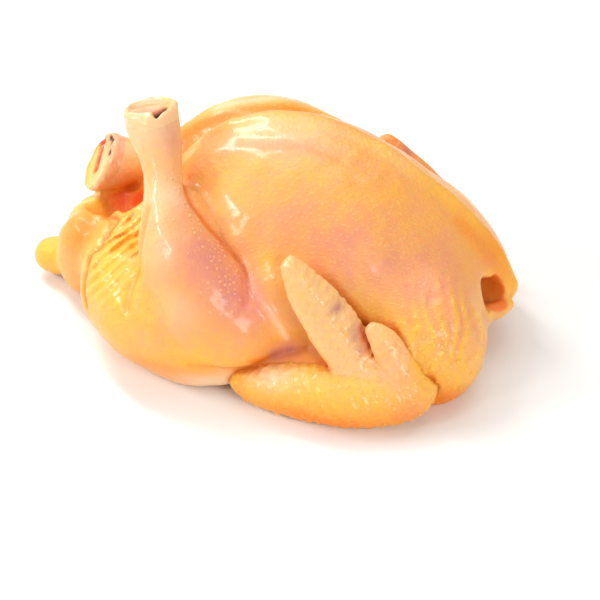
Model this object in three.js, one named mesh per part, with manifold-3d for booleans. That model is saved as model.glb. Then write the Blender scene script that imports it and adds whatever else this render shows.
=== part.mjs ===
// A dressed whole chicken lying on its back: breast up, neck end at +X, tail at -X.
// The near side, seen in the photograph, is -Y. Millimetres, +Z up, board plane at z = 0.
import * as THREE from 'three';
import { mergeVertices } from 'three/addons/utils/BufferGeometryUtils.js';
import Module from 'manifold-3d';

// Driving sizes of the trunk, as cross sections from the vent to the neck.
// Each row: x, keel y, keel z, near half width, far half width, widest z, back z.
const TRUNK_SECTIONS = [
  [-66, 8, 60, 30, 28, 42, 24],
  [-58, 12, 76, 44, 38, 44, 10],
  [-46, 15, 90, 58, 42, 45, 0],
  [-34, 16, 101, 64, 44, 46, -3],
  [-20, 16, 109, 68, 46, 48, -3],
  [0, 15, 116, 71, 48, 50, -3],
  [19, 15, 117, 73, 49, 50, -3],
  [39, 15, 112, 73, 49, 50, -2],
  [58, 15, 103, 72, 48, 48, 0],
  [78, 15, 89, 67, 46, 44, 4],
  [98, 15, 73, 55, 40, 38, 8],
  [115, 14, 56, 36, 30, 34, 12],
  [124, 12, 42, 21, 20, 31, 19],
  [129.5, 9, 33, 4, 4, 29, 25],
];
// Roundness of a trunk section: how square each quarter is.
const FAR_BREAST_ROUNDNESS = 1.6;
const NEAR_BREAST_ROUNDNESS = 1.95;
const BACK_ROUNDNESS = 2.4;

// The keel is a low rounded ridge along the breast. Rows: x, y, z, radius.
const KEEL_RADIUS = 5;
const KEEL_LINE = [
  [-42, 15, 84],
  [-30, 16, 99],
  [-10, 16, 109],
  [10, 15, 113],
  [35, 15, 109],
  [58, 15, 99.5],
  [78, 15, 86],
  [98, 15, 70],
  [114, 14, 53],
  [123, 12, 39],
  [127, 10, 30],
].map((point) => [...point, KEEL_RADIUS]);

// Limbs are tubes whose radius changes along the bone. Rows: x, y, z, radius.
const NEAR_DRUMSTICK = [
  [-65, 4, 136, 14],
  [-60, -6, 126, 14],
  [-57, -12, 119, 13.6],
  [-50, -24, 106, 10.6],
  [-46, -33, 94, 11],
  [-39, -42, 80, 18],
  [-32, -51, 65, 23],
  [-20, -58, 50, 24],
  [-6, -62, 38, 20],
];
const NEAR_THIGH = [
  [-3, -60, 36, 22],
  [-25, -57, 31, 29],
  [-48, -49, 31, 31],
  [-66, -40, 32, 26],
];
const FAR_DRUMSTICK = [
  [-117, 38, 58.5, 14],
  [-111, 38, 59, 15.5],
  [-101, 38, 60, 16.5],
  [-86, 40, 61, 12.5],
  [-71, 44, 62, 12.5],
  [-52, 50, 64, 18],
  [-30, 54, 73, 23],
  [-8, 56, 74, 25],
  [16, 55, 70, 22],
];
const FAR_THIGH = [
  [16, 55, 66, 22],
  [-8, 54, 50, 28],
  [-35, 50, 40, 32],
  [-55, 42, 40, 26],
];
// The shanks are cut off square at the near ankle and at a slant at the far one.
const NEAR_ANKLE_CUT = { point: [-60, -6, 126], way: [-0.31, 0.62, 0.72] };
const FAR_ANKLE_CUT = { point: [-111, 38, 59], way: [-0.9, -0.25, 0.36] };
const ANKLE_CUTTER = { width: 42, depth: 36 };

// Rounded masses that join the trunk. Turns are in degrees.
const NEAR_SHOULDER = { centre: [93, -40, 28], radii: [30, 30, 40], yaw: -10 };
const FAR_SHOULDER = { centre: [80, 36, 34], radii: [26, 28, 32] };
const BELLY = { centre: [-66, 2, 32], radii: [32, 36, 26] };
const VENT_FAT = { centre: [-92, 12, 28], radii: [26, 27, 25] };
const NEAR_FLANK = { centre: [-75, -19, 30], radii: [23, 23, 24] };
const THIGH_UNDERSIDE = { centre: [-22, -50, 13], radii: [34, 28, 15] };
const TAIL_FLAP = { centre: [-103, -3, 25], radii: [18, 13.5, 26], yaw: -28, pitch: 8 };
const NECK_SKIN_TAB = { centre: [125, 8, 20], radii: [4.5, 4, 5] };

// Blend radii: how softly one form runs into the next.
const FLESH_BLEND = 12;
const BELLY_BLEND = 14;
const UNDERSIDE_BLEND = 8;
const DRUMSTICK_BLEND = 7;
const RIDGE_BLEND = 5;
const FLAP_BLEND = 3.5;
const TAB_BLEND = 3;

// Tail nub and the root of it. Rows: x, y, z, radius.
const TAIL = [
  [-100, 8, 16, 15],
  [-115, 10, 14, 12],
  [-124, 11, 12.5, 10.5],
  [-128, 11, 12, 9.5],
];

// Wings: the forearm lies along the board, the hand is folded back up over it.
// Forearm rows: x, y, z, radius. Hand and thumb rows: x, y, z, broad radius, thin radius.
const NEAR_FOREARM = [
  [1, -74, 12, 6],
  [6, -74, 12, 9],
  [15, -77, 13, 11.5],
  [32, -78.5, 14, 14],
  [56, -80, 15, 15.3],
  [74, -76.5, 15, 14.8],
  [85, -73, 16, 13.5],
  [90, -70, 18, 11.5],
];
const NEAR_UPPER_ARM = [
  [90, -50, 28, 20],
  [70, -60, 18, 18],
  [40, -64, 14, 15],
  [10, -66, 14, 11],
];
const NEAR_HAND = [
  [25.5, -64.5, 80, 5, 4],
  [31, -66.5, 73, 8.5, 5],
  [38.5, -68, 63, 11.5, 6],
  [47, -68.5, 51, 13, 7],
  [55.5, -70, 39, 13.5, 8],
  [65, -73, 27, 13.5, 9],
  [80, -75.5, 20, 12, 10],
];
const NEAR_THUMB = [
  [68.5, -68.5, 50, 4.5, 4],
  [73, -69.5, 46, 7, 5],
  [78.5, -71, 38, 8.5, 6.5],
  [84.5, -72.5, 28, 10, 8],
  [86.5, -72.5, 20, 10, 9],
];
const FAR_FOREARM = [
  [20, 74, 14, 11],
  [45, 78, 14, 14],
  [75, 74, 16, 14],
  [98, 62, 22, 12],
];
const FAR_HAND = [
  [100, 60, 22, 13, 9],
  [93, 69, 30, 12, 9],
  [80, 71, 41, 12, 8],
  [68, 69, 55, 11, 7],
  [58, 66, 68, 8.5, 6],
  [52, 63, 77, 5.5, 4.5],
];
const NEAR_HAND_THIN_WAY = [0.3, -0.75, 0.6];
const FAR_HAND_THIN_WAY = [0.2, 0.75, 0.6];

// Body hollows, open at the vent and at the neck. Rows: x, y, z, radius.
const VENT_HOLLOW = [
  [-110, 19, 76, 20],
  [-94, 16, 57, 16],
  [-76, 12, 46, 15],
  [-45, 11, 42, 19],
  [-5, 8, 44, 22],
];
const NECK_HOLLOW = [
  [150, -28, 51, 13],
  [134, -16, 43, 10.5],
  [120, -5.5, 36, 9],
  [106, -1, 34, 9.5],
  [84, 0, 34, 12.5],
];

// The box that the body's mesh is made in, and its cell sizes, in millimetres.
const MESH_BOX = { x: [-148, 142], y: [-104, 98], z: [-22, 160] };
const COARSE_CELL = 7.8;
const FINE_CELL = 5.4;
const SIDE_CELL = 6.8;
const TAIL_CELLS_BELOW_X = -62;
const NECK_CELLS_ABOVE_X = 104;
// How far a vertex may move in its cell, as a share of the cell.
const MOST_SHIFT = 0.45;
// Fineness of the tubes that are lofted from rings.
const WING_SIDES = 12;
const HOLLOW_SIDES = 14;

// The whole model is moved so that the middle of its box's underside is the origin.
const ORIGIN_X = 2.68;
const ORIGIN_Y = 1.62;

const SKIN_COLOUR = 0xf0b56a;
const SKIN_ROUGHNESS = 0.38;

const subtract = (a, b) => [a[0] - b[0], a[1] - b[1], a[2] - b[2]];
const dot = (a, b) => a[0] * b[0] + a[1] * b[1] + a[2] * b[2];
const unit = (a) => a.map((value) => value / Math.hypot(...a));

function smoothMin(a, b, blend) {
  const overlap = Math.max(blend - Math.abs(a - b), 0) / blend;
  return Math.min(a, b) - overlap * overlap * blend * 0.25;
}

function smoothMax(a, b, blend) {
  return -smoothMin(-a, -b, blend);
}

// Points along a Catmull-Rom curve; every value of a row is carried along.
function curveThrough(rows, steps) {
  const last = rows.length - 1;
  const before = rows[0].map((value, i) => 2 * value - rows[1][i]);
  const after = rows[last].map((value, i) => 2 * value - rows[last - 1][i]);
  const knots = [before, ...rows, after];
  const points = [];
  for (let i = 0; i < last; i++) {
    const [a, b, c, d] = knots.slice(i, i + 4);
    for (let step = 0; step < steps; step++) {
      const t = step / steps;
      points.push(
        a.map(
          (_, k) =>
            0.5 *
            (2 * b[k] +
              (c[k] - a[k]) * t +
              (2 * a[k] - 5 * b[k] + 4 * c[k] - d[k]) * t * t +
              (3 * b[k] - a[k] - 3 * c[k] + d[k]) * t * t * t),
        ),
      );
    }
  }
  points.push(rows[last]);
  return points;
}

const TUBE_STEPS = 5;

// Signed distance to a tube of changing radius.
function tube(rows) {
  const points = curveThrough(rows, TUBE_STEPS);
  const spans = points.slice(1).map((end, i) => {
    const start = points[i];
    const along = subtract(end, start);
    return { start, end, along, square: dot(along, along) };
  });
  return (p) => {
    let nearest = Infinity;
    for (const { start, end, along, square } of spans) {
      const offset = subtract(p, start);
      const t = Math.min(Math.max(dot(offset, along) / square, 0), 1);
      const away = offset.map((value, k) => value - t * along[k]);
      const radius = start[3] + (end[3] - start[3]) * t;
      nearest = Math.min(nearest, Math.hypot(...away) - radius);
    }
    return nearest;
  };
}

// Signed distance to an ellipsoid turned by yaw about Z, then by pitch, in degrees.
function ellipsoid({ centre, radii, yaw = 0, pitch = 0 }) {
  const turn = new THREE.Matrix4().makeRotationFromEuler(
    new THREE.Euler(0, THREE.MathUtils.degToRad(pitch), THREE.MathUtils.degToRad(yaw), 'ZYX'),
  );
  const m = turn.elements;
  const axes = [m.slice(0, 3), m.slice(4, 7), m.slice(8, 11)];
  return (p) => {
    const offset = subtract(p, centre);
    const local = axes.map((axis, i) => dot(offset, axis) / radii[i]);
    const scaled = Math.hypot(...local);
    const slope = Math.hypot(...local.map((value, i) => value / radii[i])) + 1e-9;
    return (scaled * (scaled - 1)) / slope;
  };
}

// Monotone cubic interpolation through a table's rows, by its first column.
function tableCurve(rows, column) {
  const xs = rows.map((row) => row[0]);
  const ys = rows.map((row) => row[column]);
  const widths = xs.slice(1).map((x, i) => x - xs[i]);
  const slopes = widths.map((width, i) => (ys[i + 1] - ys[i]) / width);
  const tangents = xs.map((_, i) => {
    if (i === 0) return slopes[0];
    if (i === xs.length - 1) return slopes[i - 1];
    if (slopes[i - 1] * slopes[i] <= 0) return 0;
    const first = 2 * widths[i] + widths[i - 1];
    const second = widths[i] + 2 * widths[i - 1];
    return (first + second) / (first / slopes[i - 1] + second / slopes[i]);
  });
  return (x) => {
    let i = 0;
    while (i < widths.length - 1 && x > xs[i + 1]) i++;
    const t = Math.min(Math.max((x - xs[i]) / widths[i], 0), 1);
    const rise = widths[i] * (tangents[i] * t * (1 - t) ** 2 - tangents[i + 1] * t * t * (1 - t));
    return ys[i] * (1 + 2 * t) * (1 - t) ** 2 + ys[i + 1] * t * t * (3 - 2 * t) + rise;
  };
}

// The trunk: each section is four quarter superellipses round the keel's y and the widest z.
function trunk() {
  const columns = [1, 2, 3, 4, 5, 6].map((column) => tableCurve(TRUNK_SECTIONS, column));
  const tailEnd = TRUNK_SECTIONS[0][0];
  const neckEnd = TRUNK_SECTIONS[TRUNK_SECTIONS.length - 1][0];
  return (p) => {
    const x = Math.min(Math.max(p[0], tailEnd), neckEnd);
    const [keelY, keelZ, nearWidth, farWidth, wideZ, backZ] = columns.map((curve) => curve(x));
    const y = p[1] - keelY;
    const z = p[2] - wideZ;
    const far = y > 0;
    const height = z > 0 ? keelZ - wideZ : wideZ - backZ;
    const width = far ? farWidth : nearWidth;
    const breast = far ? FAR_BREAST_ROUNDNESS : NEAR_BREAST_ROUNDNESS;
    const power = z > 0 ? breast : BACK_ROUNDNESS;
    const share = (Math.abs(y) / width) ** power + (Math.abs(z) / height) ** power;
    const scaled = share ** (1 / power) + 1e-6;
    const inside = Math.hypot(y, z) * (1 - 1 / scaled);
    const beyond = Math.abs(p[0] - x);
    return beyond > 0 ? Math.hypot(Math.max(inside, 0), beyond) : inside;
  };
}

// Joins fields one after another; each has its own blend radius.
function joined(parts) {
  return (p) => {
    let value = parts[0][0](p);
    for (const [field, blend] of parts.slice(1)) value = smoothMin(value, field(p), blend);
    return value;
  };
}

function body() {
  return joined([
    [trunk()],
    [tube(KEEL_LINE), RIDGE_BLEND],
    [ellipsoid(NEAR_SHOULDER), FLESH_BLEND],
    [ellipsoid(FAR_SHOULDER), FLESH_BLEND],
    [ellipsoid(BELLY), BELLY_BLEND],
    [ellipsoid(VENT_FAT), FLESH_BLEND],
    [ellipsoid(NEAR_FLANK), FLESH_BLEND],
    [tube(TAIL), RIDGE_BLEND],
    [ellipsoid(TAIL_FLAP), FLAP_BLEND],
    [tube(NEAR_THIGH), FLESH_BLEND],
    [tube(NEAR_DRUMSTICK), DRUMSTICK_BLEND],
    [tube(FAR_THIGH), FLESH_BLEND],
    [tube(FAR_DRUMSTICK), DRUMSTICK_BLEND],
    [tube(NEAR_UPPER_ARM), UNDERSIDE_BLEND],
    [ellipsoid(THIGH_UNDERSIDE), UNDERSIDE_BLEND],
    [ellipsoid(NECK_SKIN_TAB), TAB_BLEND],
  ]);
}

// Planes of a mesh grid: coarse cells, with fine ones outside the two given places.
function planes([from, to], fineBelow, fineAbove) {
  const values = [from];
  while (values[values.length - 1] < to) {
    const x = values[values.length - 1];
    values.push(x + (x < fineBelow || x >= fineAbove ? FINE_CELL : COARSE_CELL));
  }
  return values;
}

function evenPlanes([from, to], cell) {
  const count = Math.ceil((to - from) / cell);
  return Array.from({ length: count + 1 }, (_, i) => from + i * cell);
}

// Moves a point down the field's slope onto the surface, by at most the given distance.
function onSurface(field, start, limit) {
  const REACH = 0.4;
  let p = start;
  for (let round = 0; round < 4; round++) {
    const value = field(p);
    const slope = [0, 1, 2].map((k) => {
      const ahead = [...p];
      const behind = [...p];
      ahead[k] += REACH;
      behind[k] -= REACH;
      return (field(ahead) - field(behind)) / (2 * REACH);
    });
    const square = Math.max(dot(slope, slope), 0.05);
    const next = p.map((coordinate, k) => coordinate - (value * slope[k]) / square);
    if (Math.hypot(...subtract(next, start)) > limit) return p;
    p = next;
  }
  return p;
}

// A cell's corners are numbered by the bits of x, y and z. An edge is 8 * its axis + its low corner.
const cornerBits = [0, 1, 2, 3, 4, 5, 6, 7].map((c) => [c & 1, (c >> 1) & 1, (c >> 2) & 1]);
const cellEdges = [0, 1, 2].flatMap((axis) =>
  cornerBits.flatMap((bits, corner) => (bits[axis] ? [] : [8 * axis + corner])),
);
const edgeEnds = (edge) => [edge & 7, (edge & 7) | (1 << (edge >> 3))];
const cellFaces = [0, 1, 2].flatMap((axis) => {
  const [u, v] = [(axis + 1) % 3, (axis + 2) % 3];
  return [0, 1 << axis].map((base) => ({
    corners: [base, base | (1 << u), base | (1 << u) | (1 << v), base | (1 << v)],
    edges: [8 * u + base, 8 * v + (base | (1 << u)), 8 * u + (base | (1 << v)), 8 * v + base],
  }));
});

// Groups a cell's crossed edges into the separate patches of surface that pass through it.
function patchesOf(at) {
  const group = new Map();
  for (const edge of cellEdges) {
    const [low, high] = edgeEnds(edge);
    if (at[low] < 0 !== at[high] < 0) group.set(edge, edge);
  }
  const join = (a, b) => {
    const [from, to] = [group.get(a), group.get(b)];
    for (const [edge, name] of group) if (name === from) group.set(edge, to);
  };
  for (const { corners, edges } of cellFaces) {
    const crossed = edges.filter((edge) => group.has(edge));
    if (crossed.length === 2) join(crossed[0], crossed[1]);
    if (crossed.length === 4)
      corners.forEach((corner, i) => {
        if (at[corner] < 0) join(edges[i], edges[(i + 3) % 4]);
      });
  }
  return group;
}

// A closed mesh of a field's zero surface: one vertex for each patch of surface in a grid cell.
function surfaceMesh(field, [xs, ys, zs]) {
  const [nx, ny, nz] = [xs.length, ys.length, zs.length];
  const index = (i, j, k) => (i * ny + j) * nz + k;
  const values = new Float64Array(nx * ny * nz);
  for (let i = 0; i < nx; i++)
    for (let j = 0; j < ny; j++)
      for (let k = 0; k < nz; k++) values[index(i, j, k)] = field([xs[i], ys[j], zs[k]]);

  const positions = [];
  const vertexOf = new Map();
  for (let i = 0; i < nx - 1; i++)
    for (let j = 0; j < ny - 1; j++)
      for (let k = 0; k < nz - 1; k++) {
        const at = cornerBits.map(([a, b, c]) => values[index(i + a, j + b, k + c)]);
        const patches = patchesOf(at);
        if (!patches.size) continue;
        const size = Math.min(xs[i + 1] - xs[i], ys[j + 1] - ys[j], zs[k + 1] - zs[k]);
        for (const name of new Set(patches.values())) {
          const crossings = [...patches.keys()].filter((edge) => patches.get(edge) === name);
          const sum = [0, 0, 0];
          for (const edge of crossings) {
            const [low, high] = edgeEnds(edge);
            const t = at[low] / (at[low] - at[high]);
            [xs, ys, zs].forEach((lines, axis) => {
              const start = lines[[i, j, k][axis] + cornerBits[low][axis]];
              const end = lines[[i, j, k][axis] + cornerBits[high][axis]];
              sum[axis] += (start + t * (end - start)) / crossings.length;
            });
            vertexOf.set(index(i, j, k) * 24 + edge, positions.length / 3);
          }
          positions.push(...onSurface(field, sum, size * MOST_SHIFT));
        }
      }

  const triangles = [];
  const vertex = (v) => positions.slice(3 * v, 3 * v + 3);
  const addQuad = (ring) => {
    const [p, q, r, s] = ring.map(vertex);
    const short = Math.hypot(...subtract(p, r)) <= Math.hypot(...subtract(q, s));
    const order = short ? [0, 1, 2, 0, 2, 3] : [1, 2, 3, 1, 3, 0];
    triangles.push(...order.map((corner) => ring[corner]));
  };
  for (let i = 1; i < nx - 1; i++)
    for (let j = 1; j < ny - 1; j++)
      for (let k = 1; k < nz - 1; k++) {
        const inside = values[index(i, j, k)] < 0;
        const next = [index(i + 1, j, k), index(i, j + 1, k), index(i, j, k + 1)];
        for (const axis of [0, 1, 2]) {
          if (inside === values[next[axis]] < 0) continue;
          const [u, v] = [(axis + 1) % 3, (axis + 2) % 3];
          const ring = [[1, 1], [0, 1], [0, 0], [1, 0]].map(([back, down]) => {
            const step = [0, 0, 0];
            step[u] = back;
            step[v] = down;
            const corner = step[0] + 2 * step[1] + 4 * step[2];
            const cell = index(i - step[0], j - step[1], k - step[2]);
            return vertexOf.get(cell * 24 + 8 * axis + corner);
          });
          addQuad(inside ? ring : ring.reverse());
        }
      }
  return { positions: new Float32Array(positions), triangles: new Uint32Array(triangles) };
}

const wasm = await Module();
wasm.setup();

function solidOf({ positions, triangles }) {
  return new wasm.Manifold(
    new wasm.Mesh({ numProp: 3, vertProperties: positions, triVerts: triangles }),
  );
}

// A closed tube lofted from rings along a curve, with half-round ends.
// With a thin way, each ring is an ellipse that is thin along it.
function loftedSolid(rows, sides, thinWay = null) {
  const STEPS = 2;
  const END_ANGLES = [60, 30].map(THREE.MathUtils.degToRad);
  const up = thinWay ?? [0, 0.3, 1];
  const curve = curveThrough(rows, STEPS);
  const tangents = curve.map((_, i) => {
    const before = curve[Math.max(i - 1, 0)];
    const after = curve[Math.min(i + 1, curve.length - 1)];
    return unit(subtract(after, before));
  });
  const station = (i, shift, scale) => ({ i, shift, scale });
  const last = curve.length - 1;
  const stations = [
    ...END_ANGLES.map((angle) => station(0, -Math.sin(angle), Math.cos(angle))),
    ...curve.map((_, i) => station(i, 0, 1)),
    ...END_ANGLES.toReversed().map((angle) => station(last, Math.sin(angle), Math.cos(angle))),
  ];
  const positions = [];
  for (const { i, shift, scale } of stations) {
    const along = tangents[i];
    const tilt = dot(up, along);
    const thin = unit(up.map((value, k) => value - tilt * along[k]));
    const broad = new THREE.Vector3(...thin).cross(new THREE.Vector3(...along)).toArray();
    const [broadRadius, thinRadius] = [curve[i][3], curve[i][4] ?? curve[i][3]];
    for (let side = 0; side < sides; side++) {
      const angle = (2 * Math.PI * side) / sides;
      const [b, t] = [broadRadius * Math.cos(angle), thinRadius * Math.sin(angle)];
      for (const k of [0, 1, 2]) {
        const end = shift * thinRadius * along[k];
        positions.push(curve[i][k] + end + scale * (b * broad[k] + t * thin[k]));
      }
    }
  }
  for (const [i, sign] of [[0, -1], [last, 1]]) {
    const radius = curve[i][4] ?? curve[i][3];
    for (const k of [0, 1, 2]) positions.push(curve[i][k] + sign * radius * tangents[i][k]);
  }
  const triangles = [];
  const rings = stations.length;
  const [startPole, endPole] = [rings * sides, rings * sides + 1];
  for (let side = 0; side < sides; side++) {
    const next = (side + 1) % sides;
    for (let ring = 0; ring < rings - 1; ring++) {
      const [a, b] = [ring * sides + side, ring * sides + next];
      triangles.push(a, b, b + sides, a, b + sides, a + sides);
    }
    triangles.push(startPole, next, side);
    const top = (rings - 1) * sides;
    triangles.push(endPole, top + side, top + next);
  }
  return solidOf({
    positions: new Float32Array(positions),
    triangles: new Uint32Array(triangles),
  });
}

function solidOfGeometry(geometry) {
  geometry.deleteAttribute('normal');
  geometry.deleteAttribute('uv');
  const closed = mergeVertices(geometry);
  return solidOf({
    positions: new Float32Array(closed.attributes.position.array),
    triangles: new Uint32Array(closed.index.array),
  });
}

// A block that stands on the cut's plane and takes away what lies beyond it.
function ankleCutter({ point, way }) {
  const { width, depth } = ANKLE_CUTTER;
  const turn = new THREE.Quaternion();
  turn.setFromUnitVectors(new THREE.Vector3(0, 0, 1), new THREE.Vector3(...way).normalize());
  const block = new THREE.BoxGeometry(width, width, depth).translate(0, 0, depth / 2);
  return solidOfGeometry(block.applyQuaternion(turn).translate(...point));
}

// A large slab whose top is the board plane.
function belowBoard() {
  const WIDTH = 600;
  const DEPTH = 60;
  return solidOfGeometry(new THREE.BoxGeometry(WIDTH, WIDTH, DEPTH).translate(0, 0, -DEPTH / 2));
}

const bodySolid = solidOf(
  surfaceMesh(body(), [
    planes(MESH_BOX.x, TAIL_CELLS_BELOW_X, NECK_CELLS_ABOVE_X),
    evenPlanes(MESH_BOX.y, SIDE_CELL),
    evenPlanes(MESH_BOX.z, SIDE_CELL),
  ]),
);

// The far shank lies across the vent, so the hollow is cut from below it only.
const farShank = loftedSolid(FAR_DRUMSTICK, HOLLOW_SIDES);
const ventHollow = loftedSolid(VENT_HOLLOW, HOLLOW_SIDES).subtract(farShank);
const neckHollow = loftedSolid(NECK_HOLLOW, HOLLOW_SIDES);
const wings = [
  loftedSolid(NEAR_FOREARM, WING_SIDES),
  loftedSolid(NEAR_HAND, WING_SIDES, NEAR_HAND_THIN_WAY),
  loftedSolid(NEAR_THUMB, WING_SIDES, NEAR_HAND_THIN_WAY),
  loftedSolid(FAR_FOREARM, WING_SIDES),
  loftedSolid(FAR_HAND, WING_SIDES, FAR_HAND_THIN_WAY),
];

const carved = bodySolid
  .subtract(ventHollow)
  .subtract(neckHollow)
  .subtract(ankleCutter(NEAR_ANKLE_CUT))
  .subtract(ankleCutter(FAR_ANKLE_CUT));
const chicken = wings.reduce((whole, wing) => whole.add(wing), carved).subtract(belowBoard());

function meshOf(solid) {
  const { numProp, numVert, vertProperties, triVerts } = solid.getMesh();
  const positions = new Float32Array(numVert * 3);
  for (let i = 0; i < numVert; i++)
    positions.set(vertProperties.subarray(i * numProp, i * numProp + 3), 3 * i);
  const geometry = new THREE.BufferGeometry()
    .setAttribute('position', new THREE.BufferAttribute(positions, 3))
    .setIndex(new THREE.BufferAttribute(triVerts, 1));
  geometry.computeVertexNormals();
  return geometry;
}

const skin = new THREE.MeshStandardMaterial({
  color: SKIN_COLOUR,
  roughness: SKIN_ROUGHNESS,
  metalness: 0,
});
const wholeChicken = new THREE.Mesh(meshOf(chicken), skin);
wholeChicken.name = 'whole_chicken';
wholeChicken.position.set(ORIGIN_X, ORIGIN_Y, 0);

const group = new THREE.Group();
group.add(wholeChicken);

export default group;
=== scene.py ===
import functools
import math

import bpy
import numpy as np
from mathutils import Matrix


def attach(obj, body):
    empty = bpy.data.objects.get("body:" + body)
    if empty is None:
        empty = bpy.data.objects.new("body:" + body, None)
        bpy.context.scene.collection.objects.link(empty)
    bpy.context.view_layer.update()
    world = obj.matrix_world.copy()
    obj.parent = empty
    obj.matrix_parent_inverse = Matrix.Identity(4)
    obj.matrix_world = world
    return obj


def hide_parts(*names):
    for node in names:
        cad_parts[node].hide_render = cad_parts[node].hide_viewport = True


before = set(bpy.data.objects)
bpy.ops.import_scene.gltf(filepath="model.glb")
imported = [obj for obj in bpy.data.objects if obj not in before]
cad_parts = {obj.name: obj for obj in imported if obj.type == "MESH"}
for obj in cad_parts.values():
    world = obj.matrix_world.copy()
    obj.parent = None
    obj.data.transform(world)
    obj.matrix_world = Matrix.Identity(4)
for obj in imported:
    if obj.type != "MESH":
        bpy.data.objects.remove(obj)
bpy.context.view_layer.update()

# The table that the bird lies on: a wide sheet of matt white card.
# It runs far past the bird on every side, so that no edge of it shows.
TABLE_HALF_WIDTH = 3.0


def placed(name, data):
    """A new object in the scene."""
    new = bpy.data.objects.new(name, data)
    bpy.context.collection.objects.link(new)
    return new


table_mesh = bpy.data.meshes.new("table")
table_mesh.from_pydata(
    [(x * TABLE_HALF_WIDTH, y * TABLE_HALF_WIDTH, 0) for x, y in ((-1, -1), (1, -1), (1, 1), (-1, 1))],
    [],
    [(0, 1, 2, 3)],
)
table = placed("table", table_mesh)
card = bpy.data.materials.new("white_card")
card.use_nodes = True
card_shader = card.node_tree.nodes["Principled BSDF"]
card_shader.inputs["Base Color"].default_value = (0.9, 0.895, 0.885, 1)
card_shader.inputs["Roughness"].default_value = 0.85
table_mesh.materials.append(card)

# The view: from the bird's left side and a little above, with a long lens.
# The lens is given for a frame of 36 mm.
LOOK_AT = (0.01624, 0.01554, 0.0)
AZIMUTH, ELEVATION = math.radians(12), math.radians(37)
DISTANCE = 1.0
camera_data = bpy.data.cameras.new("view")
camera_data.lens = 108.72
camera_data.sensor_width = 36
camera = placed("view", camera_data)
camera.location = (
    LOOK_AT[0] + DISTANCE * math.sin(AZIMUTH) * math.cos(ELEVATION),
    LOOK_AT[1] - DISTANCE * math.cos(AZIMUTH) * math.cos(ELEVATION),
    LOOK_AT[2] + DISTANCE * math.sin(ELEVATION),
)
camera.rotation_euler = (math.pi / 2 - ELEVATION, 0, AZIMUTH)
bpy.context.scene.camera = camera

# The light: a narrow strip on the left, a small panel beside it for the drumstick's glint, a tall strip
# behind on the left, a broad panel overhead, a fill on the right, and an even white room.
MIDDLE_OF_BIRD = np.array((0.0, 0.0, 0.05))


def softbox(name, place, width, height, watts):
    """A rectangular lamp that faces the middle of the bird."""
    lamp = bpy.data.lights.new(name, "AREA")
    lamp.shape = "RECTANGLE"
    lamp.size, lamp.size_y = width, height
    lamp.energy = watts
    box = placed(name, lamp)
    box.location = place
    way = np.array(place) - MIDDLE_OF_BIRD
    flat = math.hypot(way[0], way[1])
    box.rotation_euler = (math.atan2(flat, way[2]), 0, math.atan2(way[1], way[0]) + math.pi / 2)


softbox("key_strip", (-1.02, -0.33, 0.72), 0.6, 0.07, 7)
softbox("drumstick_panel", (-0.64, -0.77, 0.71), 0.2, 0.2, 2)
softbox("back_strip", (-0.65, 0.53, 0.95), 0.2, 0.9, 9)
softbox("top_panel", (0.15, 0.3, 1.3), 1.0, 1.0, 6)
softbox("fill_panel", (0.9, -0.95, 0.7), 0.45, 0.45, 8)
room = bpy.data.worlds.new("room")
room.use_nodes = True
room_light = room.node_tree.nodes["Background"]
room_light.inputs["Color"].default_value = (1, 0.99, 0.97, 1)
room_light.inputs["Strength"].default_value = 0.335
bpy.context.scene.world = room
bpy.context.scene.view_settings.view_transform = "Standard"

# The skin of the trunk, legs and tail: one thin damp yellow skin drawn tight over the breast and the
# drumsticks, and slack round the vent. Modelled as clay: forms are laid on one after another on a
# grid of distances, in millimetres, smoothed into each other, and the surface is taken off the grid.
MM = 0.001
# Places are modelled in millimetres from a point under the breast. SHIFT is where the frame has it.
SHIFT = np.array((2.68, 1.62, 0.0))
SKIN_CELL = 1.36
VIEW_RIGHT = (0.978, 0.208, 0)


def smooth_min(a, b, blend):
    overlap = np.maximum(blend - np.abs(a - b), 0) / blend
    return np.minimum(a, b) - overlap * overlap * blend * 0.25


def smooth_max(a, b, blend):
    return -smooth_min(-a, -b, blend)


def unit(way):
    way = np.array(way, np.float32)
    return way / np.linalg.norm(way)


def bell(*offsets):
    """1 where every offset is nought, fading to 0 around it."""
    return np.exp(-sum(offset**2 for offset in offsets))


def waves(place, pitch, lead=0):
    """Even waves between 0 and 1, one to each pitch."""
    return 0.5 + 0.5 * np.cos(place * 2 * math.pi / pitch + lead)


def patch(points, centre, radii):
    """1 inside an egg-shaped patch, fading to 0 across its edge."""
    away = (points - np.array(centre, np.float32)) / np.array(radii, np.float32)
    return np.exp(-((away * away).sum(-1) ** 2))


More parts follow.
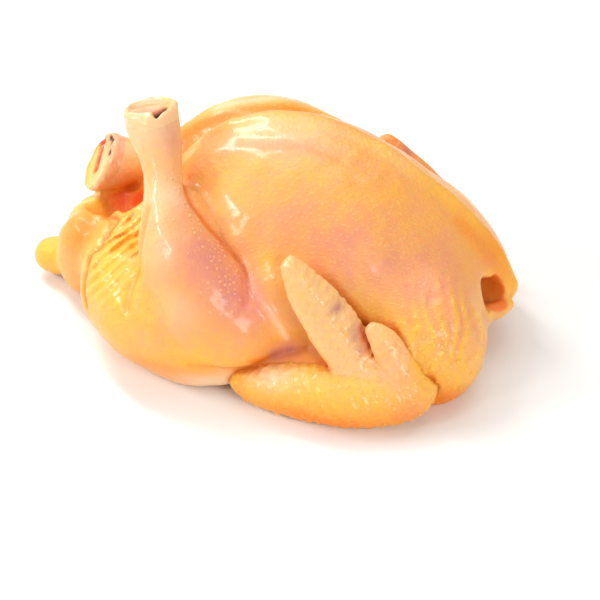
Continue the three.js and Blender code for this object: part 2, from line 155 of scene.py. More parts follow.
class Clay:
    """A block of clay on a grid: depth holds the distance to the surface, negative inside."""

    def __init__(self, low, high, cell):
        self.low, self.cell = np.array(low, float), cell
        self.axes = [np.arange(a, b + cell, cell, dtype=np.float32) for a, b in zip(low, high)]
        self.depth = np.full([len(axis) for axis in self.axes], 60.0, np.float32)

    def within(self, low, high):
        """The grid's slices between two corners, and the points there."""
        spans = []
        for axis, (a, b) in enumerate(zip(low, high)):
            count = len(self.axes[axis])
            first = min(max(int((a - self.low[axis]) / self.cell), 0), count - 1)
            last = min(max(int((b - self.low[axis]) / self.cell) + 2, first + 1), count)
            spans.append(slice(first, last))
        x, y, z = np.meshgrid(*[a[s] for a, s in zip(self.axes, spans)], indexing="ij")
        return tuple(spans), np.stack([x, y, z], -1)

    def add(self, form, blend):
        """Lays a form on, with a soft join that many millimetres wide."""
        low, high, distance = form
        spans, points = self.within(low - blend - 4, high + blend + 4)
        self.depth[spans] = smooth_min(self.depth[spans], distance(points), blend)

    def cut(self, form, blend):
        """Takes a form away: it is laid on the clay turned inside out."""
        self.depth = -self.depth
        self.add(form, blend)
        self.depth = -self.depth

    def press(self, low, high, relief):
        """Raises or sinks the surface between two corners by a relief in millimetres."""
        spans, points = self.within(low, high)
        self.depth[spans] -= relief(points)

    def crease(self, line, depth, width):
        """Sinks the surface along a line; a negative depth raises it into a fold."""
        line = np.array(line, float)
        rows = np.column_stack([line, np.zeros(len(line))])
        room = 2.5 * width
        spans, points = self.within(line.min(0) - room, line.max(0) + room)
        self.depth[spans] += depth * bell(tube_frame(points, rows, steps=4)[0] / width)

    def stand(self):
        """Cuts the clay off flat where it stands on the table."""
        self.depth = np.maximum(self.depth, -self.axes[2])

    def sample(self, points):
        """The distance at any points, read between the grid's own."""
        place = np.clip((points - self.low) / self.cell, 0, np.array(self.depth.shape) - 1.001)
        whole = place.astype(int)
        part = (place - whole).astype(np.float32)
        i, j, k = whole.T
        a, b, c = part.T
        d = self.depth
        value = 0
        for di, dj, dk in np.ndindex(2, 2, 2):
            share = (a if di else 1 - a) * (b if dj else 1 - b) * (c if dk else 1 - c)
            value = value + share * d[i + di, j + dj, k + dk]
        return value

    def slope(self, points, reach=1.2):
        """The way out of the clay at some points."""
        steps = reach * np.eye(3)
        ways = np.stack([self.sample(points + step) - self.sample(points - step) for step in steps], -1)
        return ways / (np.linalg.norm(ways, axis=1, keepdims=True) + 1e-9)

    def laid_on(self, line):
        """A line moved onto the surface."""
        line = np.array(line, float)
        for _ in range(4):
            line = line - 0.8 * self.slope(line) * self.sample(line)[:, None]
        return line

    def surface(self):
        """The closed skin of the clay, as vertices and four-sided faces."""
        inside = self.depth < 0
        cells = np.array(inside.shape) - 1
        total = np.zeros((*cells, 3), np.float32)
        count = np.zeros(cells, np.float32)
        steps = np.eye(3, dtype=int)
        rings = []
        for axis in range(3):
            crossed = np.argwhere(np.diff(inside, axis=axis))
            start, end = self.depth[tuple(crossed.T)], self.depth[tuple((crossed + steps[axis]).T)]
            place = crossed.astype(np.float32)
            place[:, axis] += start / (start - end)
            u, v = steps[(axis + 1) % 3], steps[(axis + 2) % 3]
            ring = np.stack([crossed - u - v, crossed - v, crossed, crossed - u], 1)
            for cell in ring.swapaxes(0, 1):
                np.add.at(total, tuple(cell.T), place)
                np.add.at(count, tuple(cell.T), 1)
            outward = start >= 0
            ring[outward] = ring[outward][:, ::-1]
            rings.append(ring)
        number = np.full(cells, -1, np.int64)
        used = count > 0
        number[used] = np.arange(used.sum())
        vertices = self.low + self.cell * (total[used] / count[used][:, None])
        return vertices, number[tuple(np.moveaxis(np.concatenate(rings), -1, 0))]


def curve_through(rows, steps):
    """Points along a smooth curve; every value of a row is carried along."""
    rows = np.array(rows, float)
    knots = np.vstack([2 * rows[0] - rows[1], rows, 2 * rows[-1] - rows[-2]])
    t = (np.arange(steps) / steps)[:, None]
    pieces = []
    for a, b, c, d in zip(knots, knots[1:], knots[2:], knots[3:]):
        pieces.append(
            0.5 * (2 * b + (c - a) * t + (2 * a - 5 * b + 4 * c - d) * t**2 + (3 * b - a - 3 * c + d) * t**3)
        )
    return np.vstack([*pieces, rows[-1:]])


def tube_frame(points, rows, thin_way=None, steps=6):
    """Distance to a tube of changing radius, the length along it in mm, and the offset from its axis."""
    curve = curve_through(rows, steps).astype(np.float32)
    lengths = np.linalg.norm(np.diff(curve[:, :3], axis=0), axis=1)
    starts = np.concatenate([[0], np.cumsum(lengths)])[:-1]
    nearest = along = offset = None
    for start, end, length, before in zip(curve[:-1], curve[1:], lengths, starts):
        axis = end[:3] - start[:3]
        away = points - start[:3]
        t = np.clip(away @ axis / (length * length), 0, 1)
        away = away - t[..., None] * axis
        radius = start[3] + (end[3] - start[3]) * t
        square = (away * away).sum(-1)
        if thin_way is None:
            distance = np.sqrt(square) - radius
        else:
            thin = unit(np.array(thin_way) - np.dot(thin_way, axis) / length**2 * axis)
            thin_radius = start[4] + (end[4] - start[4]) * t
            across = away @ thin
            side = np.maximum(square - across * across, 0)
            scaled = np.sqrt(side / radius**2 + (across / thin_radius) ** 2)
            steepness = np.sqrt(side / radius**4 + across**2 / thin_radius**4) + 1e-6
            distance = scaled * (scaled - 1) / steepness
        if nearest is None:
            nearest, along, offset = distance, before + t * length, away
        else:
            closer = distance < nearest
            nearest = np.where(closer, distance, nearest)
            along = np.where(closer, before + t * length, along)
            offset = np.where(closer[..., None], away, offset)
    return nearest, along, offset


def limb(rows, thin_way=None, relief=None):
    """A limb along its bone. Rows: x, y, z, radius, and for a flat limb the radius of its thin way."""
    rows = np.array(rows, float)
    reach = rows[:, 3:].max()

    def distance(points):
        value, along, offset = tube_frame(points, rows, thin_way)
        return value if relief is None else value - relief(along, offset)

    return rows[:, :3].min(0) - reach, rows[:, :3].max(0) + reach, distance


def lump(centre, radii, yaw=0, pitch=0):
    """A rounded mass, turned by yaw about the upright and then by pitch, in degrees."""
    centre, radii = np.array(centre, np.float32), np.array(radii, np.float32)
    y, p = math.radians(yaw), math.radians(pitch)
    turn_z = np.array([[math.cos(y), -math.sin(y), 0], [math.sin(y), math.cos(y), 0], [0, 0, 1]])
    turn_y = np.array([[math.cos(p), 0, math.sin(p)], [0, 1, 0], [-math.sin(p), 0, math.cos(p)]])
    turn = (turn_z @ turn_y).astype(np.float32)

    def distance(points):
        local = (points - centre) @ turn
        scaled = np.sqrt(((local / radii) ** 2).sum(-1))
        steepness = np.sqrt(((local / radii**2) ** 2).sum(-1)) + 1e-9
        return scaled * (scaled - 1) / steepness

    return centre - radii.max(), centre + radii.max(), distance


def beyond(point, way, size=24):
    """Everything past a plane, close to a point on it: the knife's cut through a shank."""
    point, way = np.array(point, np.float32), unit(way)

    def distance(points):
        ahead = (points - point) @ way
        centre = point + way * size
        ball = np.linalg.norm(points - centre, axis=-1) - size * 1.3
        return np.maximum(-ahead, ball)

    return point - size * 2.3, point + size * 2.3, distance


def wobble(points, size, seed):
    """A smooth random swell between about -1 and 1, with waves of roughly the given size."""
    dice = np.random.default_rng(seed)
    value = 0
    for _ in range(6):
        way = unit(dice.normal(size=3)) * (2 * math.pi / size * dice.uniform(0.7, 1.5))
        value = value + np.sin(points @ way.astype(np.float32) + dice.uniform(0, 6.28))
    return value / 3


# Each row: x, keel y, keel z, near half width, far half width, widest z, back z.
TRUNK_SECTIONS = np.array([
    [-66, 8, 60, 30, 28, 42, 24],
    [-58, 12, 76, 44, 38, 44, 10],
    [-46, 15, 90, 58, 42, 45, 0],
    [-34, 16, 101, 64, 44, 46, -3],
    [-20, 16, 109, 68, 46, 48, -3],
    [0, 15, 116, 71, 48, 50, -3],
    [19, 15, 117, 73, 49, 50, -3],
    [39, 15, 112, 73, 49, 50, -2],
    [58, 15, 103, 72, 48, 48, 0],
    [78, 15, 89, 67, 46, 44, 4],
    [98, 15, 73, 55, 40, 38, 8],
    [115, 14, 56, 36, 30, 34, 12],
    [124, 12, 42, 21, 20, 31, 19],
    [129.5, 9, 33, 4, 4, 29, 25],
], float)
FAR_BREAST_ROUNDNESS, NEAR_BREAST_ROUNDNESS, BACK_ROUNDNESS = 1.6, 1.95, 2.4


def eased_table(table, x):
    """The table's columns at x, on curves that never overshoot its rows."""
    xs, ys = table[:, 0], table[:, 1:]
    width = np.diff(xs)[:, None]
    rate = np.diff(ys, axis=0) / width
    tangent = np.zeros_like(ys)
    tangent[0], tangent[-1] = rate[0], rate[-1]
    same = rate[:-1] * rate[1:] > 0
    first, second = 2 * width[1:] + width[:-1], width[1:] + 2 * width[:-1]
    safe = np.where(same, rate[:-1], 1), np.where(same, rate[1:], 1)
    tangent[1:-1] = np.where(same, (first + second) / (first / safe[0] + second / safe[1]), 0)
    i = np.clip(np.searchsorted(xs, x) - 1, 0, len(width) - 1)
    t = np.clip((x - xs[i]) / width[i, 0], 0, 1)[:, None]
    rise = width[i] * (tangent[i] * t * (1 - t) ** 2 - tangent[i + 1] * t * t * (1 - t))
    return ys[i] * (1 + 2 * t) * (1 - t) ** 2 + ys[i + 1] * t * t * (3 - 2 * t) + rise


def trunk_distance(points):
    x = points[:, 0, 0, 0]
    inner = np.clip(x, TRUNK_SECTIONS[0, 0], TRUNK_SECTIONS[-1, 0])
    columns = eased_table(TRUNK_SECTIONS, inner).astype(np.float32)
    keel_y, keel_z, near, far, wide_z, back_z = [c[:, None, None] for c in columns.T]
    y, z = points[..., 1] - keel_y, points[..., 2] - wide_z
    height = np.where(z > 0, keel_z - wide_z, wide_z - back_z)
    width = np.where(y > 0, far, near)
    breast = np.where(y > 0, FAR_BREAST_ROUNDNESS, NEAR_BREAST_ROUNDNESS)
    power = np.where(z > 0, breast, BACK_ROUNDNESS).astype(np.float32)
    share = (np.abs(y) / width) ** power + (np.abs(z) / height) ** power
    scaled = share ** (1 / power) + 1e-6
    within = np.sqrt(y * y + z * z) * (1 - 1 / scaled)
    past = np.abs(x - inner)[:, None, None]
    return np.where(past > 0, np.sqrt(np.maximum(within, 0) ** 2 + past**2), within)


KEEL_LINE = [
    (-42, 15, 84, 5), (-30, 16, 99, 5), (-10, 16, 109, 5), (10, 15, 113, 5), (35, 15, 109, 5),
    (58, 15, 99.5, 5), (78, 15, 86, 5), (98, 15, 70, 5), (114, 14, 53, 5), (123, 12, 39, 5),
    (127, 10, 30, 5),
]
NEAR_DRUMSTICK = [
    (-65, 4, 136, 14), (-60, -6, 126, 14), (-57, -12, 119, 13.6), (-50, -24, 106, 10.6),
    (-46, -33, 94, 11), (-39, -42, 80, 18), (-32, -51, 65, 23), (-20, -58, 50, 24), (-6, -62, 38, 20),
]
NEAR_THIGH = [(-3, -60, 36, 22), (-25, -57, 31, 29), (-48, -49, 31, 31), (-66, -40, 32, 26)]
FAR_DRUMSTICK = [
    (-117, 38, 58.5, 14), (-111, 38, 59, 15.5), (-101, 38, 60, 16.5), (-86, 40, 61, 12.5),
    (-71, 44, 62, 12.5), (-52, 50, 64, 18), (-30, 54, 73, 23), (-8, 56, 74, 25), (16, 55, 70, 22),
]
FAR_THIGH = [(16, 55, 66, 22), (-8, 54, 50, 28), (-35, 50, 40, 32), (-55, 42, 40, 26)]
TAIL = [(-100, 8, 16, 15), (-115, 10, 14, 12), (-124, 11, 12.5, 10.5), (-128, 11, 12, 9.5)]
NEAR_UPPER_ARM = [(90, -50, 28, 20), (70, -60, 18, 18), (40, -64, 14, 15), (10, -66, 14, 11)]
VENT_HOLLOW = [(-110, 19, 76, 20), (-94, 16, 57, 16), (-76, 12, 46, 15), (-45, 11, 42, 19), (-5, 8, 44, 22)]
FAR_VENT_RIM = [
    (-112, 26, 24, 7), (-108, 31, 30, 7.5), (-102, 36, 34, 7.5), (-94, 38, 36, 7.5), (-84, 40, 38, 8),
    (-70, 42, 46, 10),
]
NECK_HOLLOW = [(150, -28, 51, 13), (134, -16, 43, 10.5), (120, -5.5, 36, 9), (106, -1, 34, 9.5), (84, 0, 34, 12.5)]
NECK_LIP = [(108, -17, 27, 4), (116, -13, 27, 4.5), (124, -8, 27, 4.5), (128, -1, 26, 4)]
# The knife's cuts through the two ankles: a place on the cut, and the way it faces.
NEAR_ANKLE_CUT = ((-60.3, -6.5, 125.5), (-0.2, 0.2, 0.95))
FAR_ANKLE_CUT = ((-104.5, 38, 59.5), (-0.8, -0.3, 0.5))
EVERYWHERE = (-200, -200, -200), (200, 200, 200)
BIRD_BLOCK = (-140, -104, -5), (138, 98, 142)

# The last number of each line is the blend, in millimetres, that joins the form to what is there.
bird = Clay(*BIRD_BLOCK, SKIN_CELL)
spans, points = bird.within(*EVERYWHERE)
bird.depth[spans] = trunk_distance(points)
bird.add(limb(KEEL_LINE), 5)
bird.add(lump((93, -40, 26), (29, 30, 36), yaw=-10), 22)  # near shoulder
bird.add(lump((80, 36, 34), (26, 28, 32)), 12)  # far shoulder
bird.add(lump((-66, 2, 32), (32, 36, 26)), 14)  # belly
bird.add(lump((-92, 12, 28), (26, 27, 25)), 12)  # rump
bird.add(lump((-75, -19, 30), (23, 23, 24)), 12)  # slack skin beside the vent
bird.add(limb(TAIL), 5)
bird.add(lump((-103, -3, 25), (18, 13.5, 26), yaw=-28, pitch=8), 3)  # tail flap
bird.cut(limb(VENT_HOLLOW), 2.5)
bird.add(limb(FAR_VENT_RIM), 5)
bird.add(lump((-106, 21, 35), (9, 13, 10)), 5)  # back corner of the rim
bird.add(limb(NEAR_THIGH), 12)
bird.add(limb(NEAR_DRUMSTICK), 9)
bird.add(limb(FAR_THIGH), 12)
bird.add(limb(FAR_DRUMSTICK), 4)
bird.add(limb(NEAR_UPPER_ARM), 8)
bird.add(lump((-22, -50, 13), (34, 28, 15)), 8)  # underside of the thigh
bird.add(lump((20, -55, 40), (20, 10, 26)), 14)  # skin from the thigh to the shoulder
bird.cut(limb(NECK_HOLLOW), 2)
bird.cut(lump((117, -13, 40), (9, 9, 9)), 2)  # dip in the near edge of the neck skin
bird.add(lump((125, 8, 20), (4.5, 4, 5)), 3)  # knob of skin under the neck
bird.add(limb(NECK_LIP), 2)

# Folds and furrows, each with its depth and width: between drumstick and breast, beside the shank,
# round the tail flap, the loose edge of the breast skin, under the wing, beside the keel, under the
# thigh, and down the neck skin.
DRUMSTICK_FOLD = bird.laid_on([
    (-41, -14, 92), (-37, -26, 97), (-33, -37, 98), (-29, -43, 95), (-25, -45, 92), (-20, -47, 87),
    (-15, -48, 80), (-10, -50, 75), (-5, -52, 71), (-1, -56, 66), (2, -62, 61), (3, -69, 57),
])
SHANK_FOLD = bird.laid_on([
    (-51, -48, 92), (-53, -54, 84), (-55, -58, 74), (-57, -62, 64), (-58, -67, 55), (-57, -73, 47),
])
FLAP_FOLD = bird.laid_on([
    (-90, -3, 54), (-82, -11, 57), (-84, -21, 55), (-85, -29, 54), (-90, -34, 48), (-89, -42, 46),
    (-89, -49, 41), (-86, -58, 34),
])
BREAST_SKIN_EDGE = bird.laid_on([(-1, -52, 70), (4, -58, 61), (11, -63, 54), (17, -63, 46), (22, -61, 38)])
ARM_PIT = bird.laid_on([(-22, -84, 26), (-8, -80, 24), (4, -72, 26), (18, -64, 22), (30, -60, 20)])
keel_furrow = [(-12, -1, 113), (6, -3, 115), (20, -5, 114), (36, -6, 110), (50, -5, 105), (64, -3, 98)]
bird.crease(bird.laid_on(keel_furrow), 1.3, 4.5)
bird.crease(DRUMSTICK_FOLD, 4.0, 1.6)
bird.crease(SHANK_FOLD, 2.0, 2.4)
bird.crease(FLAP_FOLD, 4.4, 1.8)
bird.crease(BREAST_SKIN_EDGE, -1.8, 1.9)
bird.crease(ARM_PIT, 1.4, 2.0)
thigh_furrow = [(-29, -87, 31), (-17, -86, 26), (-5, -81, 20), (6, -76, 18)]
bird.crease(bird.laid_on(thigh_furrow), 1.8, 3)
neck_furrow = [(86, -64, 52), (91, -69, 42), (96, -73, 31), (101, -74, 22), (102, -66, 8)]
bird.crease(bird.laid_on(neck_furrow), 2.4, 2.6)


def slack_wrinkles(points):
    """The loose belly skin beside the vent: long wrinkles that fan down from the vent's rim."""
    share = patch(points, (-73, -33, 57), (20, 38, 27)) * np.clip((points[..., 0] + 88) / 4, 0, 1)
    across = points @ unit((0.73, -0.31, -0.6)) + 1.3 * wobble(points, 34, 3)
    return share * 2.7 * (waves(across, 4.9) - 0.5) * (0.8 + 0.25 * wobble(points, 16, 5))


NECK_ROW_PITCH = 6.6


def across_neck(points):
    """How far places lie across the upright rows of quill follicles on the neck skin."""
    return points @ unit(VIEW_RIGHT) + 3.0 * wobble(points, 24, 8)


def neck_streaks(points):
    """The neck skin: its rows of follicles are drawn into low beaded ridges."""
    across = across_neck(points)
    down = points @ unit((0.2, -0.5, -0.84)) + 1.5 * wobble(points, 15, 9)
    beaded = waves(across, NECK_ROW_PITCH) * waves(down, 6.0, across)
    return patch(points, (100, -58, 40), (24, 26, 30)) * (1.5 * (beaded - 0.3) + 0.3 * wobble(points, 7, 10))


def feathered_strokes(points):
    """Along the near side of the keel the skin is drawn into short slanting strokes."""
    across = points @ unit((0.5, 0.59, 0.63)) + 0.9 * wobble(points, 20, 31)
    length = points @ unit((0.85, -0.2, -0.49)) + 2.5 * wobble(points, 18, 32)
    strokes = waves(across, 3.4) * waves(length, 13)
    return patch(points, (46, -6, 107), (38, 13, 16)) * 0.9 * strokes


def slight_swells(points):
    """No skin is quite even: low swells all over."""
    return 0.3 * wobble(points, 22, 11) + 0.12 * wobble(points, 8, 12)


bird.press((-100, -80, 20), (-45, 20, 86), slack_wrinkles)
bird.press((70, -95, 2), (130, -20, 80), neck_streaks)
bird.press((0, -26, 80), (92, 14, 126), feathered_strokes)
bird.press(*EVERYWHERE, slight_swells)
# The sawn ends are pieces of their own, so the shanks stop a little inside them.
ANKLE_OVERLAP = 3.6
for place, way in (NEAR_ANKLE_CUT, FAR_ANKLE_CUT):
    bird.cut(beyond(np.array(place) - ANKLE_OVERLAP * unit(way), way), 0.8)
bird.stand()
# The lines of the folds are moved to the bottom of their furrows, where the painted colour and shade need them.
DRUMSTICK_FOLD, SHANK_FOLD, FLAP_FOLD, BREAST_SKIN_EDGE, ARM_PIT = [
    bird.laid_on(fold) for fold in (DRUMSTICK_FOLD, SHANK_FOLD, FLAP_FOLD, BREAST_SKIN_EDGE, ARM_PIT)
]


def mesh_object(name, vertices, faces):
    """A smooth mesh object from points in millimetres."""
    mesh = bpy.data.meshes.new(name)
    mesh.vertices.add(len(vertices))
    mesh.vertices.foreach_set("co", ((vertices + SHIFT) * MM).astype(np.float32).ravel())
    mesh.loops.add(faces.size)
    mesh.loops.foreach_set("vertex_index", faces.astype(np.int32).ravel())
    mesh.polygons.add(len(faces))
    mesh.polygons.foreach_set("loop_start", np.arange(0, faces.size, faces.shape[1], dtype=np.int32))
    mesh.polygons.foreach_set("use_smooth", np.ones(len(faces), bool))
    mesh.update(calc_edges=True)
    return placed(name, mesh)


def relaxed(vertices, faces, rounds, share=0.5):
    """Evens out the small steps of the grid by moving each point towards its neighbours."""
    edges = np.concatenate([faces[:, [i, (i + 1) % 4]] for i in range(4)])
    for _ in range(rounds):
        total = np.zeros_like(vertices)
        count = np.zeros(len(vertices))
        for a, b in ((0, 1), (1, 0)):
            for axis in range(3):
                total[:, axis] += np.bincount(edges[:, a], vertices[edges[:, b], axis], len(vertices))
            count += np.bincount(edges[:, a], minlength=len(vertices))
        vertices = vertices + share * (total / count[:, None] - vertices)
    return vertices


def paint(piece, **paint_values):
    """Keeps a value of each paint mask for every point of a piece, colour, painted shade and highlight alike, under a
    name that its material reads.
    """
    count = len(piece.data.vertices)
    for name, values in paint_values.items():
        stored = piece.data.attributes.new(name, "FLOAT", "POINT")
        values = np.broadcast_to(np.asarray(values, np.float32), count)
        stored.data.foreach_set("value", np.ascontiguousarray(values))


def wash(points, *spots):
    """Soft spots of colour, each a centre, three radii and a strength: 0 to 1 at every point."""
    value = np.zeros(len(points))
    for centre, radii, strength in spots:
        away = ((points - np.array(centre)) / np.array(radii)) ** 2
        value = 1 - (1 - value) * (1 - strength * np.exp(-away.sum(1)))
    return value


def stroke(points, line, width):
    """A soft stroke of colour along a line."""
    rows = np.column_stack([np.array(line, float), np.zeros(len(line))])
    return bell(tube_frame(points.astype(np.float32), rows, steps=4)[0] / width)


def either(*masks):
    """Masks laid over each other: where any one is full, so is the result."""
    left = 1
    for mask in masks:
        left = left * (1 - mask)
    return 1 - left


vertices, faces = bird.surface()
vertices = relaxed(vertices, faces, 1)
drawn_tight = wash(vertices, ((-5, 0, 100), (34, 36, 26), 1.0), ((30, -30, 90), (40, 34, 30), 1.0))
near_folds = either(stroke(vertices, DRUMSTICK_FOLD, 4), stroke(vertices, BREAST_SKIN_EDGE, 4))
vertices = relaxed(vertices, faces, 5, 0.5 * (drawn_tight * (1 - near_folds))[:, None])
bird_points = vertices.astype(np.float32)
bird_skin = mesh_object("bird_skin", vertices, faces)
bird_wash = functools.partial(wash, bird_points)
bird_stroke = functools.partial(stroke, bird_points)

# Where the skin's colour comes from: dark leg meat, breast meat, painted shade in the pocket under the wing, yellow
# fat, orange skin with painted shade in the folds and underneath, thin pale skin with painted highlight on top, and raw
# hollows. Each spot has a centre, three radii and a strength.
leg_meat = bird_wash(
    ((-5, -68, 62), (18, 15, 16), 1.0), ((-22, -62, 74), (12, 12, 14), 0.8), ((-18, -64, 80), (15, 12, 15), 0.85),
    ((3, -69, 54), (11, 10, 14), 0.8), ((-45, -22, 119), (7, 9, 9), 0.5), ((-32, -48, 98), (9, 12, 14), 0.5),
)
breast_meat = bird_wash(
    ((8, -7, 113), (34, 7, 9), 0.6), ((52, -45, 80), (30, 20, 18), 0.5), ((78, -48, 65), (24, 14, 14), 0.55),
    ((95, -26, 67), (20, 18, 16), 0.5), ((20, -40, 88), (34, 18, 16), 0.35), ((25, -64, 33), (9, 12, 5), 0.7),
    ((-104, 20, 66), (10, 10, 8), 0.4),
)
# Painted shade: dark purple in the pocket where the wing meets the body and by the knob under the neck.
pocket_shade = bird_wash(
    ((18, -67, 29), (3.5, 8, 3.5), 1.0), ((24, -66, 30), (5, 8, 3), 0.7), ((122, -10, 26), (8, 8, 5), 0.4),
)
neck_rows = waves(across_neck(bird_points), NECK_ROW_PITCH)
neck_area = bird_wash(((102, -50, 46), (22, 22, 22), 1.0))
patches = 0.5 * wobble(bird_points, 30, 51) + 0.5 * wobble(bird_points, 11, 52)
patchy_area = bird_wash(
    ((56, -44, 78), (52, 34, 34), 1.0), ((-30, -60, 50), (30, 24, 34), 0.7), ((40, 20, 104), (60, 14, 14), 0.6),
)
yellow_fold = bird_stroke([(11, -53, 72), (16, -58, 60), (24, -59, 45), (33, -58, 34)], 6)
breast_meat = (1 - yellow_fold) * either(
    breast_meat, 0.6 * neck_area * (1 - neck_rows), 0.65 * patchy_area * np.clip(patches, 0, 1)
)
keel_fat = [(48, 14, 105), (70, 14, 92), (98, 14, 71), (114, 13, 54), (124, 11, 39), (127, 9, 28)]
fat = either(
    bird_stroke(keel_fat, 5.5),
    yellow_fold,
    0.85 * neck_area * neck_rows,
    0.7 * patchy_area * np.clip(-patches, 0, 1),
    bird_wash(
        ((-73, -32, 58), (18, 36, 22), 0.95), ((-62, -66, 44), (22, 22, 26), 0.55), ((95, -68, 34), (26, 16, 18), 0.85),
        ((108, -60, 20), (20, 20, 14), 0.9), ((-126, 4, 18), (16, 16, 16), 1.0), ((-106, 30, 34), (16, 14, 12), 1.0),
        ((-103, 18, 42), (12, 14, 10), 1.0), ((-96, 4, 52), (10, 12, 7), 0.9), ((-88, 34, 50), (20, 9, 5), 1.0),
        ((-82, 40, 44), (16, 8, 8), 0.9), ((-17, -85, 27), (24, 9, 8), 0.8), ((-20, 56, 92), (60, 16, 14), 0.6),
        ((60, -58, 56), (26, 10, 14), 0.75), ((84, -60, 52), (14, 10, 12), 0.7),
    ),
)
far_leg_fold = [
    (-60, 38, 72), (-54, 43, 82), (-46, 44, 88), (-36, 46, 93), (-24, 48, 97), (-8, 51, 98), (10, 54, 97), (34, 54, 92),
]
under_wing = [(8, -78, 29), (13, -74, 28), (19, -69, 26), (37, -69, 26), (43, -71, 28)]
# Orange skin, and painted shade: orange is painted along the folds, under the wing, along the far leg's fold and on the
# undersides by the table, where shade falls.
orange_skin_and_shade = either(
    bird_stroke(DRUMSTICK_FOLD, 1.8),
    0.5 * bird_stroke(SHANK_FOLD, 2.0),
    0.95 * bird_stroke(FLAP_FOLD, 2.2),
    bird_stroke(far_leg_fold, 5),
    0.9 * bird_stroke(under_wing, 2.2),
    0.5 * bird_stroke([(100, 4, 70), (114, 2, 54), (122, 0, 42)], 6),
    bird_wash(
        ((-60, 34, 74), (12, 14, 16), 0.9), ((-46, -4, 88), (9, 10, 10), 1.0), ((98, -78, 14), (26, 12, 14), 0.8),
        ((104, -66, 6), (20, 14, 10), 1.0), ((-55, 20, 78), (16, 22, 20), 0.9), ((-76, 34, 50), (12, 16, 9), 0.9),
        ((-88, -47, 44), (4, 5, 4), 0.9), ((-99, -8, 46), (12, 16, 14), 0.75), ((-40, -84, 20), (46, 12, 10), 0.35),
        ((118, 10, 50), (14, 12, 18), 0.5), ((-40, -84, 12), (40, 14, 10), 0.5), ((100, -66, 6), (24, 14, 8), 0.5),
    ),
)
# Pale skin, and painted highlight: the tops of the breast and keel and the near side of the drumstick are painted paler
# where the lamps light them.
pale_skin_and_highlight = bird_wash(
    ((-10, -80, 8), (30, 16, 9), 1.0), ((-56, -18, 122), (17, 18, 14), 0.85), ((116, -18, 20), (12, 14, 8), 0.8),
    ((-10, 2, 114), (44, 12, 8), 0.5), ((-46, -44, 98), (12, 16, 14), 0.7), ((-38, -64, 78), (12, 12, 14), 0.6),
    ((-27, -80, 57), (12, 8, 10), 0.5), ((-98, 30, 62), (14, 16, 14), 0.85), ((-104, 20, 45), (6, 9, 6), 0.7),
    ((60, 12, 100), (30, 6, 10), 0.4), ((60, -76, 2), (40, 18, 5), 0.3),
)
# Two places are paler than all that lies on them: a painted highlight along the top of the far leg, and pale skin under
# the near thigh.
painted_top_highlight = bird_stroke([(-40, 54, 94), (-28, 56, 99), (-12, 61, 100), (3, 68, 96), (18, 69, 91)], 6)
under_thigh = bird_wash(((-13, -80, 12), (19, 12, 8), 1.0))
pale_skin_and_highlight = either(either(pale_skin_and_highlight, painted_top_highlight, 0.8 * bird_stroke(BREAST_SKIN_EDGE, 1.8)), under_thigh)
fat = fat * (1 - 0.7 * painted_top_highlight) * (1 - under_thigh)
orange_skin_and_shade = orange_skin_and_shade * (1 - painted_top_highlight) * (1 - under_thigh)
leg_meat = leg_meat * (1 - under_thigh)
# Painted shade: dark deep orange lines along the bottoms of the folds.
painted_fold_shade = either(
    0.9 * bird_stroke(DRUMSTICK_FOLD[1:-3], 1.2),
    0.7 * bird_stroke(FLAP_FOLD, 1.4),
    0.35 * bird_stroke(ARM_PIT, 1.6),
    0.3 * bird_stroke([(-60, 38, 72), (-54, 42, 81), (-46, 43, 87), (-36, 45, 92)], 4),
)
from_vent_hollow = tube_frame(bird_points, VENT_HOLLOW)[0]
clear_of_shank = tube_frame(bird_points, FAR_DRUMSTICK)[0] > 1.2
clear_of_rim = np.clip(tube_frame(bird_points, FAR_VENT_RIM)[0] - 0.5, 0, 1)
vent_lining = either(
    np.clip((0.6 - from_vent_hollow) / 1.6, 0, 1) * clear_of_rim * np.clip((bird_points[:, 0] + 93) / 5, 0, 1),
    bird_wash(((-91, 30, 42), (7, 12, 9), 1.0)),
) * clear_of_shank
from_neck_hollow = tube_frame(bird_points, NECK_HOLLOW)[0]
neck_lining = np.clip((0.8 - from_neck_hollow) / 1.4, 0, 1)
neck_rim = bell((from_neck_hollow - 3) / 2.2) * np.clip((bird_points[:, 0] - 104) / 6, 0, 1)

# Feathers grew in rows: each point of the skin knows its place along and across them, and how much
# it stands in goose flesh.
on_drumstick, along_bone, offset = tube_frame(bird_points, NEAR_DRUMSTICK)
turn = np.arctan2(offset @ unit((0.88, 0.24, 0.4)), offset @ unit((0, -0.85, 0.52)))
TRUNK_MIDDLE_Y, TRUNK_MIDDLE_Z = 15, 45
upright = bird_points[:, 2] - TRUNK_MIDDLE_Z
sideways = bird_points[:, 1] - TRUNK_MIDDLE_Y
round_trunk = np.arctan2(-sideways, upright) * np.hypot(sideways, upright)
use_leg = on_drumstick < 1.5
# The rows are closer on the leg than on the trunk.
LEG_CLOSENESS, LEG_ROUND = 1.6, 35
paint(
    bird_skin,
    along=np.where(use_leg, along_bone * LEG_CLOSENESS, bird_points[:, 0]),
    around=np.where(use_leg, turn * LEG_ROUND, round_trunk),
    meat=either(leg_meat, breast_meat),
    bruise=pocket_shade,
    fat=either(fat, 0.9 * neck_rim),
    orange=either(orange_skin_and_shade, 0.8 * neck_lining),
    pale=pale_skin_and_highlight,
    raw=either(vent_lining, 0.35 * neck_lining),
    goose=bird_wash(
        ((60, -30, 84), (62, 50, 34), 1.0), ((100, -50, 44), (34, 30, 40), 1.0), ((-14, -56, 78), (20, 16, 26), 0.6),
        ((-40, -44, 98), (14, 14, 16), 0.8), ((30, 20, 110), (80, 22, 18), 0.9), ((-10, 56, 88), (50, 16, 22), 0.9),
        ((-50, -72, 34), (40, 20, 26), 0.5),
    ),
)


